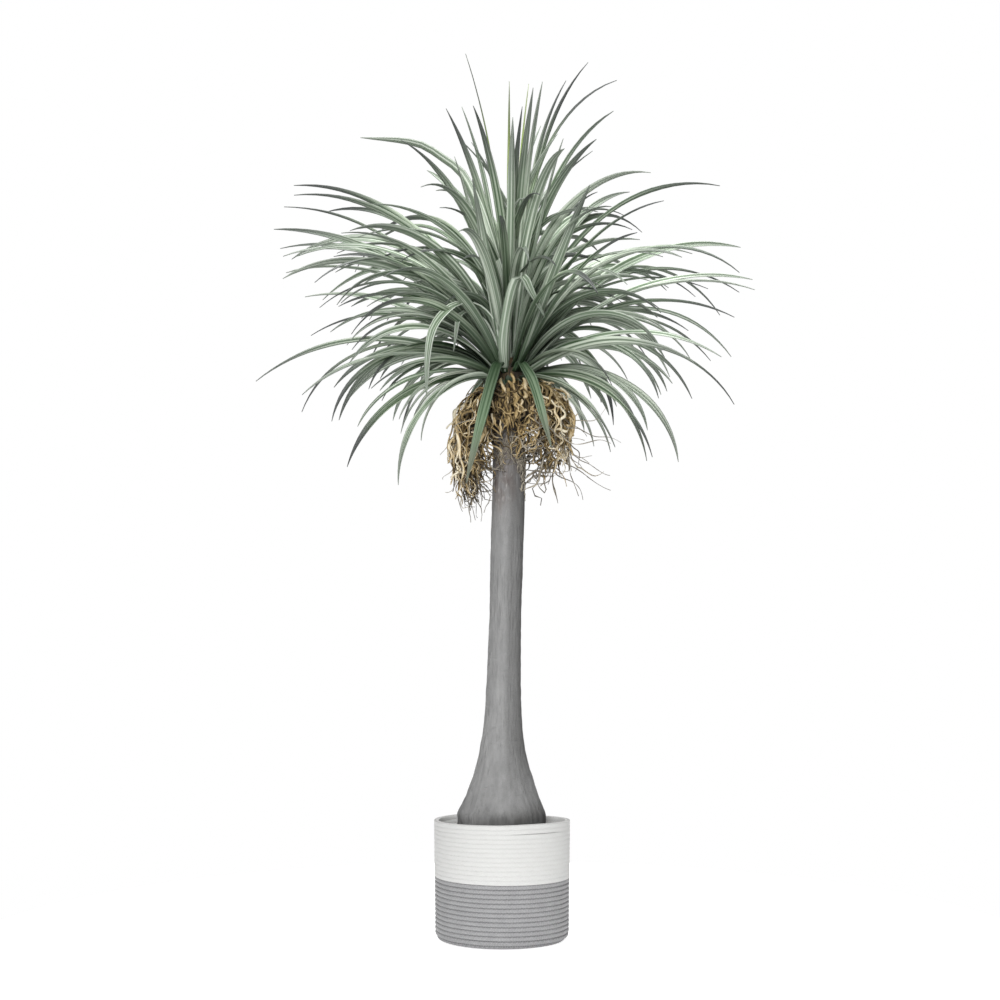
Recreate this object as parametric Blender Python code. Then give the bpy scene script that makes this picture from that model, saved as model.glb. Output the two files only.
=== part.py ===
"""Potted dragon tree, as a Blender script in metres with +Z up.

A grey trunk with a swollen foot carries a crown of arching strap leaves over a skirt of dried fibre.
It stands in potting mix, in a plain grow pot, inside a basket of coiled rope that is grey below and
white above. The origin is the centre of the basket's underside. -Y faces the viewer.
"""

import math
import random

import bmesh
import bpy
from mathutils import Matrix, Vector

# Gap between pieces that rest on or in each other
CLEARANCE = 0.0003

# Rope basket
BASKET_HEIGHT = 0.202
BASKET_FOOT_RADIUS = 0.1115
BASKET_RIM_RADIUS = 0.1137
BASKET_CORNER = 0.014
GREY_COILS = 14
WHITE_COILS = 13
COLOUR_LINE = BASKET_HEIGHT * GREY_COILS / (GREY_COILS + WHITE_COILS)
ROPE = 0.008
ROPE_GROOVE = 0.0021
BASKET_SIDES = 26

# Grow pot and the mix in it
POT_FLOOR = ROPE + CLEARANCE
POT_TOP = 0.168
POT_WALL = 0.0022
POT_FOOT_RADIUS = 0.085
POT_MOUTH_RADIUS = 0.094
POT_LIP = 0.005
POT_LIP_HEIGHT = 0.010
POT_SIDES = 24
SOIL_TOP = 0.156

# Trunk: height and radius of its outline, foot to top
TRUNK_OUTLINE = (
    (0.120, 0.034),
    (0.128, 0.050),
    (0.142, 0.061),
    (SOIL_TOP, 0.0672),
    (0.178, 0.0722),
    (0.206, 0.0739),
    (0.2165, 0.0702),
    (0.2365, 0.0613),
    (0.2565, 0.0540),
    (0.2765, 0.0472),
    (0.2965, 0.0414),
    (0.314, 0.0376),
    (0.338, 0.0340),
    (0.370, 0.0308),
    (0.430, 0.0285),
    (0.500, 0.0272),
    (0.550, 0.0264),
    (0.630, 0.0273),
    (0.765, 0.0275),
    (0.925, 0.0270),
)
TRUNK_SIDES = 18
TRUNK_TOP = TRUNK_OUTLINE[-1][0]
LEAN = 0.0125
LEAN_FROM = 0.22
LEAN_TO = 0.88
BARK_RELIEF = 0.022
BARK_FROM = 0.008
BARK_FULL = 0.055
BARK_TOP = 0.74

# Growing tip, a low dome from which every leaf springs: height above its base, radius
TIP_OUTLINE = ((0.0, 0.040), (0.018, 0.047), (0.044, 0.044), (0.068, 0.030))
TIP_HEIGHT = 0.082
TIP_BASE = TRUNK_TOP + CLEARANCE
TIP_SIDES = 12

# Leaves
LEAF_WIDTH = 0.0185
SLENDER_WIDTH = 0.0075
LEAF_ROOT_WIDTH = 0.70
LEAF_TAPER = 2.9
LEAF_THICKNESS = 0.0016
LEAF_FOLD = 0.24
ROOT_RADIUS = 0.034
ROOT_LOWEST = 0.009
ROOT_HIGHEST = 0.066
LEAF_STATIONS = (0.0, 0.14, 0.32, 0.50, 0.68, 0.86)
BENT_STATIONS = (0.0, 0.16, 0.30, 0.44, 0.58, 0.72, 0.86)
LEAF_ROLL = 50
LEAF_TWIST = 40
LEAF_SEED = 11
ARC_STEPS = 50
CROWN_HEIGHT = 0.960

# Leaves whose tips show in front view, each a tip's place from the crown's centre and its end slope:
# across to the right, up, back, degrees above the horizon at the tip, how late the leaf bends
SEEN_LEAVES = (
    # upright leaves round the growing point
    (0.135, 0.525, 0.02, 50, 3.0),
    (0.180, 0.475, -0.05, 15, 3.0),
    (0.170, 0.405, -0.12, 22, 2.5),
    (0.100, 0.515, 0.10, 55, 2.5),
    (0.055, 0.470, -0.06, 75, 2.0),
    (0.005, 0.400, -0.10, 86, 2.0),
    (-0.080, 0.430, -0.05, 66, 2.0),
    (-0.090, 0.325, -0.14, 60, 2.0),
    (-0.060, 0.275, -0.20, 55, 2.0),
    (0.085, 0.340, -0.20, 50, 2.0),
    # right side, from the top down
    (0.125, 0.255, -0.25, 40, 1.5),
    (0.165, 0.360, 0.30, 20, 1.5),
    (0.365, 0.320, 0.06, -8, 1.6),
    (0.225, 0.360, 0.30, 12, 1.5),
    (0.245, 0.240, -0.20, 3, 1.5),
    (0.250, 0.290, 0.33, -20, 1.4),
    (0.195, 0.170, -0.30, 0, 1.6),
    (0.405, 0.220, 0.10, -8, 1.4),
    (0.380, 0.145, -0.08, -42, 1.5),
    (0.415, 0.150, 0.02, -10, 1.2),
    (0.400, 0.110, -0.12, -20, 1.2),
    (0.410, 0.150, 0.16, -28, 1.2),
    (0.375, 0.075, -0.05, -27, 1.1),
    (0.380, 0.115, 0.20, -50, 1.3),
    (0.385, 0.025, 0.08, -52, 1.2),
    (0.340, -0.005, -0.16, -32, 1.0),
    (0.365, 0.035, 0.22, -42, 1.1),
    (0.290, -0.025, -0.24, -30, 1.0),
    (0.375, -0.070, -0.04, -60, 1.2),
    (0.325, -0.040, 0.16, -62, 1.2),
    (0.290, -0.160, 0.05, -82, 1.1),
    (0.230, -0.165, -0.14, -72, 1.1),
    (0.245, -0.150, 0.17, -76, 1.0),
    (0.165, -0.155, -0.22, -58, 1.0),
    (0.190, -0.080, 0.24, -88, 1.2),
    (0.170, -0.035, 0.28, -75, 1.2),
    # left side, from the top down
    (-0.375, 0.325, 0.08, 0, 1.6),
    (-0.355, 0.270, -0.10, -8, 1.4),
    (-0.385, 0.275, 0.02, 2, 1.5),
    (-0.335, 0.310, 0.24, -5, 1.5),
    (-0.395, 0.225, -0.04, -2, 1.4),
    (-0.405, 0.225, 0.14, -8, 1.3),
    (-0.370, 0.165, -0.12, -22, 1.4),
    (-0.375, 0.190, 0.05, -35, 1.5),
    (-0.275, 0.140, -0.26, -15, 1.3),
    (-0.390, 0.175, 0.10, -12, 1.2),
    (-0.375, 0.135, -0.08, -32, 1.3),
    (-0.285, 0.210, 0.30, -50, 1.5),
    (-0.365, 0.145, 0.18, -4, 1.1),
    (-0.265, 0.070, -0.24, -40, 1.3),
    (-0.230, 0.040, -0.28, -36, 1.2),
    (-0.205, 0.120, 0.34, -50, 1.3),
    (-0.350, 0.070, 0.14, -27, 1.1),
    (-0.425, -0.030, -0.03, -38, 1.0),
    (-0.355, -0.075, 0.04, -68, 1.2),
    (-0.340, -0.060, -0.10, -42, 1.0),
    (-0.250, 0.020, 0.28, -52, 1.2),
    (-0.295, -0.100, -0.06, -78, 1.2),
    (-0.300, -0.080, 0.14, -72, 1.1),
    (-0.220, -0.060, -0.20, -38, 1.0),
    (-0.270, -0.175, -0.05, -72, 1.0),
    (-0.180, -0.210, -0.14, -88, 1.0),
)

# Leaves with a bend of their own: width, degrees of roll, and points from the crown's centre, across to the
# right, back and up
BENT_LEAVES = (
    # two that fall towards the viewer
    (0.0205, -8, (
        (-0.010, -0.030, -0.016),
        (-0.017, -0.041, -0.001),
        (-0.022, -0.054, -0.012),
        (-0.041, -0.094, -0.085),
        (-0.071, -0.132, -0.207),
    )),
    (0.0185, 10, (
        (0.010, -0.028, -0.014),
        (0.018, -0.040, -0.001),
        (0.024, -0.056, -0.010),
        (0.038, -0.084, -0.040),
        (0.057, -0.112, -0.110),
        (0.068, -0.124, -0.149),
    )),
    # one with a kink
    (0.0200, 0, (
        (-0.006, -0.030, -0.014),
        (-0.008, -0.070, 0.034),
        (0.002, -0.095, 0.097),
        (0.013, -0.108, 0.130),
        (0.022, -0.112, 0.131),
        (0.034, -0.120, 0.106),
        (0.057, -0.135, 0.062),
    )),
    # two at the left whose ends hang
    (0.0165, -20, (
        (-0.012, -0.030, -0.014),
        (-0.031, -0.060, 0.066),
        (-0.049, -0.080, 0.085),
        (-0.071, -0.100, 0.090),
        (-0.097, -0.125, 0.078),
        (-0.122, -0.145, 0.045),
        (-0.134, -0.165, -0.070),
    )),
    (0.0120, -15, (
        (-0.014, -0.026, -0.010),
        (-0.040, -0.060, 0.062),
        (-0.068, -0.085, 0.078),
        (-0.082, -0.095, 0.070),
        (-0.092, -0.110, 0.010),
    )),
    # one that nods among the upright ones
    (0.0130, 0, (
        (0.000, -0.026, 0.000),
        (-0.006, -0.050, 0.160),
        (0.000, -0.060, 0.235),
        (0.010, -0.064, 0.262),
        (0.022, -0.066, 0.272),
        (0.040, -0.068, 0.268),
    )),
    # one that turns level at the upper left
    (0.0230, 30, (
        (-0.004, -0.020, 0.000),
        (-0.014, -0.034, 0.120),
        (-0.047, -0.048, 0.234),
        (-0.081, -0.052, 0.313),
        (-0.109, -0.052, 0.337),
        (-0.154, -0.050, 0.365),
        (-0.250, -0.045, 0.379),
    )),
)

# Young leaves, as narrow as grass, that stand up from the growing point
SLENDER_LEAVES = (
    (-0.075, 0.540, 0.02, 72, 1.5),
    (0.000, 0.495, 0.03, 88, 2.0),
    (0.035, 0.515, 0.12, 68, 1.5),
)

# Leaves that fill the crown behind and in front, between a low and a high one: reach, up, end slope
FILL_RANKS = ((0.23, -0.15, -82), (0.36, -0.01, -55), (0.41, 0.14, -30), (0.33, 0.30, -5), (0.09, 0.44, 62))
FILL_BEHIND = 24
FILL_BEFORE = 15
FILL_SECTOR = 100
FILL_GAP = 0.1
FILL_LOWEST_BEHIND = 0.0
FILL_LOWEST_BEFORE = 0.34
FILL_BEND = 1.3
GOLDEN_SHARE = 0.618034

# Skirt of dried fibre: depth below its top and radius, over the mat and then under it
SKIRT_TOP = 0.922
SKIRT_OUTER = ((0.0, 0.042), (0.008, 0.058), (0.028, 0.080), (0.060, 0.093), (0.098, 0.092), (0.132, 0.080))
SKIRT_INNER = ((0.130, 0.066), (0.096, 0.078), (0.060, 0.080), (0.036, 0.068), (0.026, 0.046))
SKIRT_COLLAR = 0.034
SKIRT_SLACK = 0.0003
SKIRT_SIDES = 20

# The skirt hugs the trunk in front and behind, and is a little slimmer at the left
SKIRT_HUG = 0.42
SKIRT_HUG_DEPTH = 0.05
SKIRT_LEFT_SLIM = 0.06

# Its hem is lifted in front, where the trunk shows, hangs lowest at the left and a little higher at the right
HEM_LIFT = 0.062
HEM_LIFT_SECTOR = math.radians(62)
HEM_DROP = 0.020
HEM_RISE = 0.028

# Strands that stand out of the skirt's mat, in nested layers: depth and radius of their roots, radius
# at their widest, and how far they hang
STRAND_LAYERS = ((0.010, 0.050, 0.106, 0.150), (0.024, 0.066, 0.101, 0.160), (0.040, 0.076, 0.096, 0.145))
STRANDS_PER_LAYER = 25
STRAND_WIDTH = 0.0078
STRAND_THICKNESS = 0.0030
STRAND_STATIONS = (0.0, 0.28, 0.52, 0.78)
STRAND_SEED = 5

# Colour, roughness of each finish
FINISHES = {
    "rope_grey": ((0.36, 0.36, 0.365), 0.9),
    "rope_white": ((0.80, 0.80, 0.785), 0.9),
    "pot_plastic": ((0.035, 0.035, 0.037), 0.55),
    "potting_mix": ((0.045, 0.030, 0.020), 0.95),
    "bark": ((0.27, 0.27, 0.27), 0.8),
    "dried_fibre": ((0.38, 0.25, 0.12), 0.85),
    "leaf": ((0.10, 0.16, 0.095), 0.5),
}


def clear_scene():
    """Removes every object, so that the script can run in any open file."""
    for obj in list(bpy.data.objects):
        bpy.data.objects.remove(obj, do_unlink=True)


def finish(name):
    """The material of that name."""
    colour, roughness = FINISHES[name]
    material = bpy.data.materials.new(name)
    material.use_nodes = True
    shader = material.node_tree.nodes["Principled BSDF"]
    shader.inputs["Base Color"].default_value = (*colour, 1.0)
    shader.inputs["Roughness"].default_value = roughness
    return material


def new_object(name, bm, collection=None):
    """Makes an object of the bmesh, in the scene's collection unless another is given."""
    mesh = bpy.data.meshes.new(name)
    bm.to_mesh(mesh)
    bm.free()
    obj = bpy.data.objects.new(name, mesh)
    (collection or bpy.context.scene.collection).objects.link(obj)
    return obj


def dress(obj, finish_name, sharp_degrees=40):
    """Gives the object its material and smooth shading."""
    obj.data.materials.clear()
    obj.data.materials.append(finish(finish_name))
    obj.data.shade_smooth()
    obj.data.set_sharp_from_angle(angle=math.radians(sharp_degrees))


def turned(outline, sides, closed):
    """A bmesh of the (radius, height) outline spun round Z. A closed outline makes a ring."""
    bm = bmesh.new()
    verts = [bm.verts.new((radius, 0.0, height)) for radius, height in outline]
    edges = [bm.edges.new(pair) for pair in zip(verts, verts[1:])]
    if closed:
        edges.append(bm.edges.new((verts[-1], verts[0])))
    bmesh.ops.spin(
        bm,
        geom=verts + edges,
        axis=(0, 0, 1),
        cent=(0, 0, 0),
        angle=math.tau,
        steps=sides,
        use_merge=True,
    )
    bmesh.ops.remove_doubles(bm, verts=bm.verts, dist=1e-6)
    bmesh.ops.recalc_face_normals(bm, faces=bm.faces)
    return bm


def between(table, place):
    """The value at a place in a table of (place, value) rows, on straight lines between them."""
    for (low, first), (high, second) in zip(table, table[1:]):
        if place <= high:
            share = max(0.0, (place - low) / (high - low))
            return first + (second - first) * share
    return table[-1][1]


def round_hole(radius, sides):
    """Corner radius of a many-sided hole whose flat sides clear a round piece of that radius."""
    return (radius + CLEARANCE) / math.cos(math.pi / sides)


def smooth_share(low, high, value):
    """0 below low, 1 above high, and an S curve between."""
    share = min(1.0, max(0.0, (value - low) / (high - low)))
    return share * share * (3 - 2 * share)


def lean(height):
    """How far the trunk's centre has moved to the right at a height."""
    return LEAN * smooth_share(LEAN_FROM, LEAN_TO, height)


def basket_radius(height):
    """Radius over the rope at a height, with the rounded corner at the foot."""
    share = height / BASKET_HEIGHT
    radius = BASKET_FOOT_RADIUS + (BASKET_RIM_RADIUS - BASKET_FOOT_RADIUS) * share
    if height >= BASKET_CORNER:
        return radius
    below = 1 - height / BASKET_CORNER
    return radius - BASKET_CORNER * (1 - math.sqrt(1 - below * below))


def coil_outline(low, high, coils):
    """Outline over a stack of rope coils: a groove, a crest, a groove and so on, from low to high."""
    pitch = (high - low) / coils
    points = []
    for coil in range(coils):
        foot = low + coil * pitch
        crest = foot + pitch / 2
        points.append((basket_radius(foot) - ROPE_GROOVE, foot))
        points.append((basket_radius(crest), crest))
    points.append((basket_radius(high) - ROPE_GROOVE, high))
    return points


def build_basket_grey():
    """Rope floor and the grey coils of the wall."""
    top = COLOUR_LINE
    outline = [(0.0, 0.0), *coil_outline(0.0, top, GREY_COILS)]
    outline += [(basket_radius(top) - ROPE, top), (basket_radius(ROPE) - ROPE, ROPE), (0.0, ROPE)]
    obj = new_object("basket_grey", turned(outline, BASKET_SIDES, closed=False))
    dress(obj, "rope_grey")


def build_basket_white():
    """White coils of the wall, sewn on the grey ones."""
    low = COLOUR_LINE + CLEARANCE
    outline = coil_outline(low, BASKET_HEIGHT, WHITE_COILS)
    outline += [(basket_radius(BASKET_HEIGHT) - ROPE, BASKET_HEIGHT), (basket_radius(low) - ROPE, low)]
    obj = new_object("basket_white", turned(outline, BASKET_SIDES, closed=True))
    dress(obj, "rope_white")


def pot_radius(height):
    """Inner radius of the grow pot at a height."""
    share = (height - POT_FLOOR) / (POT_TOP - POT_FLOOR)
    return POT_FOOT_RADIUS + (POT_MOUTH_RADIUS - POT_FOOT_RADIUS) * share


def build_grow_pot():
    """Plain tapered pot with a lip, standing on the basket's floor."""
    lip_foot = POT_TOP - POT_LIP_HEIGHT
    floor_top = POT_FLOOR + POT_WALL
    outline = [
        (0.0, POT_FLOOR),
        (POT_FOOT_RADIUS + POT_WALL, POT_FLOOR),
        (pot_radius(lip_foot) + POT_WALL, lip_foot),
        (pot_radius(lip_foot) + POT_LIP, lip_foot),
        (POT_MOUTH_RADIUS + POT_LIP, POT_TOP),
        (POT_MOUTH_RADIUS, POT_TOP),
        (pot_radius(floor_top), floor_top),
        (0.0, floor_top),
    ]
    obj = new_object("grow_pot", turned(outline, POT_SIDES, closed=False))
    dress(obj, "pot_plastic")


def build_soil():
    """Potting mix that fills the pot, with the hole in which the trunk's foot stands."""
    low = POT_FLOOR + POT_WALL + CLEARANCE
    hole = [(round_hole(radius, POT_SIDES), height) for height, radius in TRUNK_OUTLINE if height <= SOIL_TOP]
    hole_floor = TRUNK_OUTLINE[0][0] - CLEARANCE
    outline = [
        (0.0, low),
        (pot_radius(low) - CLEARANCE, low),
        (pot_radius(SOIL_TOP) - CLEARANCE, SOIL_TOP),
        *reversed(hole),
        (hole[0][0], hole_floor),
        (0.0, hole_floor),
    ]
    obj = new_object("soil", turned(outline, POT_SIDES, closed=False))
    dress(obj, "potting_mix")


def bark_swell(turn, height):
    """Share by which the trunk's radius swells or sinks: flutes on the foot, slow bumps above."""
    shown = smooth_share(SOIL_TOP + BARK_FROM, SOIL_TOP + BARK_FULL, height)
    hidden = smooth_share(BARK_TOP - BARK_FULL, BARK_TOP, height)
    flutes = math.sin(5 * turn + 9 * height) + 0.6 * math.sin(3 * turn - 14 * height + 1.3)
    return BARK_RELIEF * flutes * shown * (1 - hidden)


def build_trunk():
    """Trunk with its swollen foot: a turned outline, given its relief and its lean."""
    outline = [(0.0, TRUNK_OUTLINE[0][0])]
    outline += [(radius, height) for height, radius in TRUNK_OUTLINE]
    outline.append((0.0, TRUNK_TOP))
    bm = turned(outline, TRUNK_SIDES, closed=False)
    for vert in bm.verts:
        turn = math.atan2(vert.co.y, vert.co.x)
        swell = 1 + bark_swell(turn, vert.co.z)
        vert.co.x = vert.co.x * swell + lean(vert.co.z)
        vert.co.y *= swell
    obj = new_object("trunk", bm)
    dress(obj, "bark")


def unit_arc(start, end, bend):
    """Points (out, up) of a curve of length 1 whose slope goes from start to end, late if bend is high."""
    step = 1 / ARC_STEPS
    points = [(0.0, 0.0)]
    for index in range(ARC_STEPS):
        slope = start + (end - start) * ((index + 0.5) * step) ** bend
        out, up = points[-1]
        points.append((out + math.cos(slope) * step, up + math.sin(slope) * step))
    return points


def arc_to(out, up, end, bend):
    """Arc points from (0, 0) to (out, up), and the start slope that leads there."""
    aim = math.atan2(up, out)
    low, high = aim - 0.2, aim + 2.4
    for _ in range(30):
        start = (low + high) / 2
        tip_out, tip_up = unit_arc(start, end, bend)[-1]
        if math.atan2(tip_up, tip_out) < aim:
            low = start
        else:
            high = start
    points = unit_arc(start, end, bend)
    scale = math.hypot(out, up) / math.hypot(*points[-1])
    return [(p_out * scale, p_up * scale) for p_out, p_up in points], start


def round_table(table, place):
    """The value at a place in a table of (place, value) rows, on a smooth curve through them."""
    for index, ((low, first), (high, second)) in enumerate(zip(table, table[1:])):
        if place <= high or index == len(table) - 2:
            break
    before = table[max(0, index - 1)]
    after = table[min(len(table) - 1, index + 2)]
    leave = (second - before[1]) / (high - before[0]) * (high - low)
    reach = (after[1] - first) / (after[0] - low) * (high - low)
    t = min(1.0, max(0.0, (place - low) / (high - low)))
    bend = (2 * t**3 - 3 * t**2 + 1) * first + (3 * t**2 - 2 * t**3) * second
    return bend + (t**3 - 2 * t**2 + t) * leave + (t**3 - t**2) * reach


def curve_through(points, steps):
    """A smooth curve through a few points, in that many steps."""
    runs = [0.0]
    for first, second in zip(points, points[1:]):
        runs.append(runs[-1] + (Vector(second) - Vector(first)).length)
    tables = [tuple(zip(runs, (point[axis] for point in points))) for axis in range(3)]
    places = [runs[-1] * step / steps for step in range(steps + 1)]
    return [Vector([round_table(table, place) for table in tables]) for place in places]


def leaf_width(share):
    """Width of a leaf along its length, 1 at the widest and 0 at the point."""
    base = LEAF_ROOT_WIDTH + (1 - LEAF_ROOT_WIDTH) * smooth_share(0.0, 0.28, share)
    return base * (1 - share**LEAF_TAPER)


def start_slope(leaf):
    """Slope at which a leaf would leave the crown's centre."""
    across, up, back, end_degrees, bend = leaf
    return arc_to(math.hypot(across, back), up, math.radians(end_degrees), bend)[1]


def leaf_course(leaf, place):
    """Points along the middle of a leaf that springs from the tip. Place is its rank there, 0 lowest."""
    across, up, back, end_degrees, bend = leaf
    turn = math.atan2(back, across)
    outward = Vector((math.cos(turn), math.sin(turn), 0))
    root_radius = ROOT_RADIUS * math.sqrt(1 - place)
    root_height = TIP_BASE + ROOT_LOWEST + (ROOT_HIGHEST - ROOT_LOWEST) * place
    root = Vector((lean(TRUNK_TOP), 0, root_height)) + outward * root_radius
    reach = math.hypot(across, back) - root_radius
    arc = arc_to(reach, CROWN_HEIGHT + up - root.z, math.radians(end_degrees), bend)[0]
    return [root + outward * out + Vector((0, 0, height)) for out, height in arc]


def bent_course(points):
    """Points along the middle of a leaf with a bend of its own."""
    centre = Vector((lean(TRUNK_TOP), 0, CROWN_HEIGHT))
    return [centre + point for point in curve_through(points, ARC_STEPS)]


def leaf_rings(course, turn, stations, width, roll, twist):
    """Rings (left edge, crease, right edge, keel) at some stations along a leaf."""
    side = Vector((-math.sin(turn), math.cos(turn), 0))
    rings = []
    for share in stations:
        index = round(share * ARC_STEPS)
        tangent = (course[index + 1] - course[index]).normalized()
        level = (side - tangent * side.dot(tangent)).normalized()
        rolled = Matrix.Rotation(roll + twist * share, 3, tangent) @ level
        normal = tangent.cross(rolled).normalized()
        half = rolled * (width * leaf_width(share) / 2)
        fold = normal * (width * leaf_width(share) * LEAF_FOLD)
        thick = normal * (LEAF_THICKNESS * (1 - 0.4 * share) / 2)
        centre = course[index]
        rings.append((centre + half + fold, centre + thick, centre - half + fold, centre - thick))
    return rings


def blade_object(name, rings, point, collection):
    """A closed blade over the rings. Both faces are split the same way, so a twisted one can't cross itself."""
    bm = bmesh.new()
    rows = [[bm.verts.new(corner) for corner in ring] for ring in rings]
    count = len(rows[0])
    bm.faces.new(reversed(rows[0]))
    for row, following in zip(rows, rows[1:]):
        for index in range(count):
            after = (index + 1) % count
            if index % 2:
                bm.faces.new((row[index], row[after], following[index]))
                bm.faces.new((row[after], following[after], following[index]))
            else:
                bm.faces.new((row[index], row[after], following[after]))
                bm.faces.new((row[index], following[after], following[index]))
    end = bm.verts.new(point)
    for index in range(count):
        bm.faces.new((rows[-1][index], rows[-1][(index + 1) % count], end))
    bmesh.ops.recalc_face_normals(bm, faces=bm.faces)
    bmesh.ops.triangulate(bm, faces=[face for face in bm.faces if len(face.verts) > 3])
    return new_object(name, bm, collection)


def fill_leaf(rank, turn, rng):
    """Tip of a leaf of the crown's filling, by its rank from the lowest, 0, to the highest, 1."""
    place = rank * (len(FILL_RANKS) - 1)
    low = min(int(place), len(FILL_RANKS) - 2)
    share = place - low
    reach, up, end = (a + (b - a) * share for a, b in zip(FILL_RANKS[low], FILL_RANKS[low + 1]))
    reach *= rng.uniform(0.9, 1.06)
    up += rng.uniform(-0.025, 0.025)
    return reach * math.cos(turn), up, reach * math.sin(turn), end + rng.uniform(-10, 10), FILL_BEND


def fill_leaves(rng):
    """Leaves behind and in front of the ones that show at the sides."""
    leaves = []
    for count, middle, lowest in (
        (FILL_BEHIND, 90, FILL_LOWEST_BEHIND),
        (FILL_BEFORE, -90, FILL_LOWEST_BEFORE),
    ):
        for index in range(count):
            rank = lowest + (1 - lowest) * (index + 0.5) / count
            share = (index * GOLDEN_SHARE) % 1 - 0.5
            share = math.copysign(FILL_GAP + (1 - 2 * FILL_GAP) * abs(share), share)
            leaves.append(fill_leaf(rank, math.radians(middle + FILL_SECTOR * share), rng))
    return leaves


def crown_leaves():
    """Rings and point of every leaf of the crown. The steeper a leaf starts, the higher its root."""
    rng = random.Random(LEAF_SEED)
    sized = [(leaf, LEAF_WIDTH) for leaf in (*SEEN_LEAVES, *fill_leaves(rng))]
    sized += [(leaf, SLENDER_WIDTH) for leaf in SLENDER_LEAVES]
    sized.sort(key=lambda pair: start_slope(pair[0]))
    blades = []
    for rank, (leaf, width) in enumerate(sized):
        course = leaf_course(leaf, (rank + 0.5) / len(sized))
        turn = math.atan2(leaf[2], leaf[0])
        width *= rng.uniform(0.88, 1.08)
        roll = math.radians(rng.uniform(-LEAF_ROLL, LEAF_ROLL))
        twist = math.radians(rng.uniform(-LEAF_TWIST, LEAF_TWIST))
        blades.append((leaf_rings(course, turn, LEAF_STATIONS, width, roll, twist), course[-1]))
    for width, roll, points in BENT_LEAVES:
        across, back, _ = points[-1]
        course = bent_course(points)
        rings = leaf_rings(course, math.atan2(back, across), BENT_STATIONS, width, math.radians(roll), 0.0)
        blades.append((rings, course[-1]))
    return blades


def keep_main_body(bm):
    """Drops all but the largest connected body: sealed hollows left by the fusing, and loose scraps."""
    waiting = set(bm.faces)
    bodies = []
    while waiting:
        front = [waiting.pop()]
        body = []
        while front:
            face = front.pop()
            body.append(face)
            for edge in face.edges:
                for near in edge.link_faces:
                    if near in waiting:
                        waiting.remove(near)
                        front.append(near)
        bodies.append(body)
    bodies.sort(key=len)
    spare = [face for body in bodies[:-1] for face in body]
    bmesh.ops.delete(bm, geom=spare, context="FACES")


def fuse(base, collection):
    """Joins the collection's objects to the base in one body, then removes them."""
    union = base.modifiers.new("union", "BOOLEAN")
    union.operation = "UNION"
    union.operand_type = "COLLECTION"
    union.collection = collection
    union.solver = "MANIFOLD"
    graph = bpy.context.evaluated_depsgraph_get()
    bm = bmesh.new()
    bm.from_mesh(bpy.data.meshes.new_from_object(base.evaluated_get(graph)))
    base.modifiers.clear()
    keep_main_body(bm)
    bm.to_mesh(base.data)
    bm.free()
    for obj in list(collection.objects):
        bpy.data.objects.remove(obj, do_unlink=True)
    bpy.data.collections.remove(collection)


def new_collection(name):
    """A collection for the repeats of one piece."""
    collection = bpy.data.collections.new(name)
    bpy.context.scene.collection.children.link(collection)
    return collection


def build_crown():
    """Growing tip and all its leaves, fused in one piece."""
    outline = [(0.0, 0.0)]
    outline += [(radius, height) for height, radius in TIP_OUTLINE]
    outline.append((0.0, TIP_HEIGHT))
    bm = turned(outline, TIP_SIDES, closed=False)
    bmesh.ops.translate(bm, verts=bm.verts, vec=(lean(TRUNK_TOP), 0, TIP_BASE))
    tip = new_object("crown", bm)
    blades = new_collection("leaves")
    for index, (rings, point) in enumerate(crown_leaves()):
        blade_object(f"leaf_{index}", rings, point, blades)
    fuse(tip, blades)
    dress(tip, "leaf", 60)


def hem_drop(turn):
    """How far the skirt's hem hangs below its usual height: less than none in front, most at the left."""
    from_front = abs((turn + math.pi / 2 + math.pi) % math.tau - math.pi)
    lifted = 1 - smooth_share(HEM_LIFT_SECTOR / 3, HEM_LIFT_SECTOR, from_front)
    left = max(0.0, -math.cos(turn)) ** 2
    right = max(0.0, math.cos(turn)) ** 2
    return HEM_DROP * left - HEM_RISE * right - HEM_LIFT * lifted


def hugged(turn, drop):
    """Share of the skirt's radius at a turn and a depth."""
    left = max(0.0, -math.cos(turn)) ** 2
    hug = SKIRT_HUG * abs(math.sin(turn)) ** 3 + SKIRT_LEFT_SLIM * left
    return 1 - hug * smooth_share(0.0, SKIRT_HUG_DEPTH, drop)


def strand_rings(layer, index):
    """Rings of three corners along one strand of the skirt, and its point."""
    rng = random.Random(STRAND_SEED * 1000 + layer * STRANDS_PER_LAYER + index)
    root_drop, root_radius, belly, drop = STRAND_LAYERS[layer]
    turn = math.tau * (index + layer / len(STRAND_LAYERS)) / STRANDS_PER_LAYER + rng.uniform(-0.03, 0.03)
    hem = drop + hem_drop(turn) + rng.uniform(0.0, 0.045)
    start = SKIRT_TOP - root_drop
    corners = (
        (root_radius, start),
        (belly * 0.94, start + 0.002),
        (belly * 1.06, SKIRT_TOP - hem * 0.5),
        (belly * rng.uniform(0.86, 1.0), SKIRT_TOP - hem),
    )
    sway, phase = rng.uniform(0.05, 0.16), rng.uniform(0, math.tau)
    rings = []
    for share in (*STRAND_STATIONS, 1.0):
        left = 1 - share
        weights = (left**3, 3 * left * left * share, 3 * left * share * share, share**3)
        radius = sum(w * corner[0] for w, corner in zip(weights, corners))
        height = sum(w * corner[1] for w, corner in zip(weights, corners))
        angle = turn + sway * share * share * math.sin(phase + 4 * share)
        outward = Vector((math.cos(angle), math.sin(angle), 0))
        along = Vector((-math.sin(angle), math.cos(angle), 0))
        radius *= hugged(angle, SKIRT_TOP - height)
        centre = Vector((lean(height), 0, height)) + outward * radius
        if share == 1.0:
            return rings, centre
        half = along * (STRAND_WIDTH / 2 * (0.5 + 1.6 * share * left))
        thick = (outward + Vector((0, 0, 0.6 * left))).normalized() * STRAND_THICKNESS
        rings.append((centre + half, centre - half, centre + thick))


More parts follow.
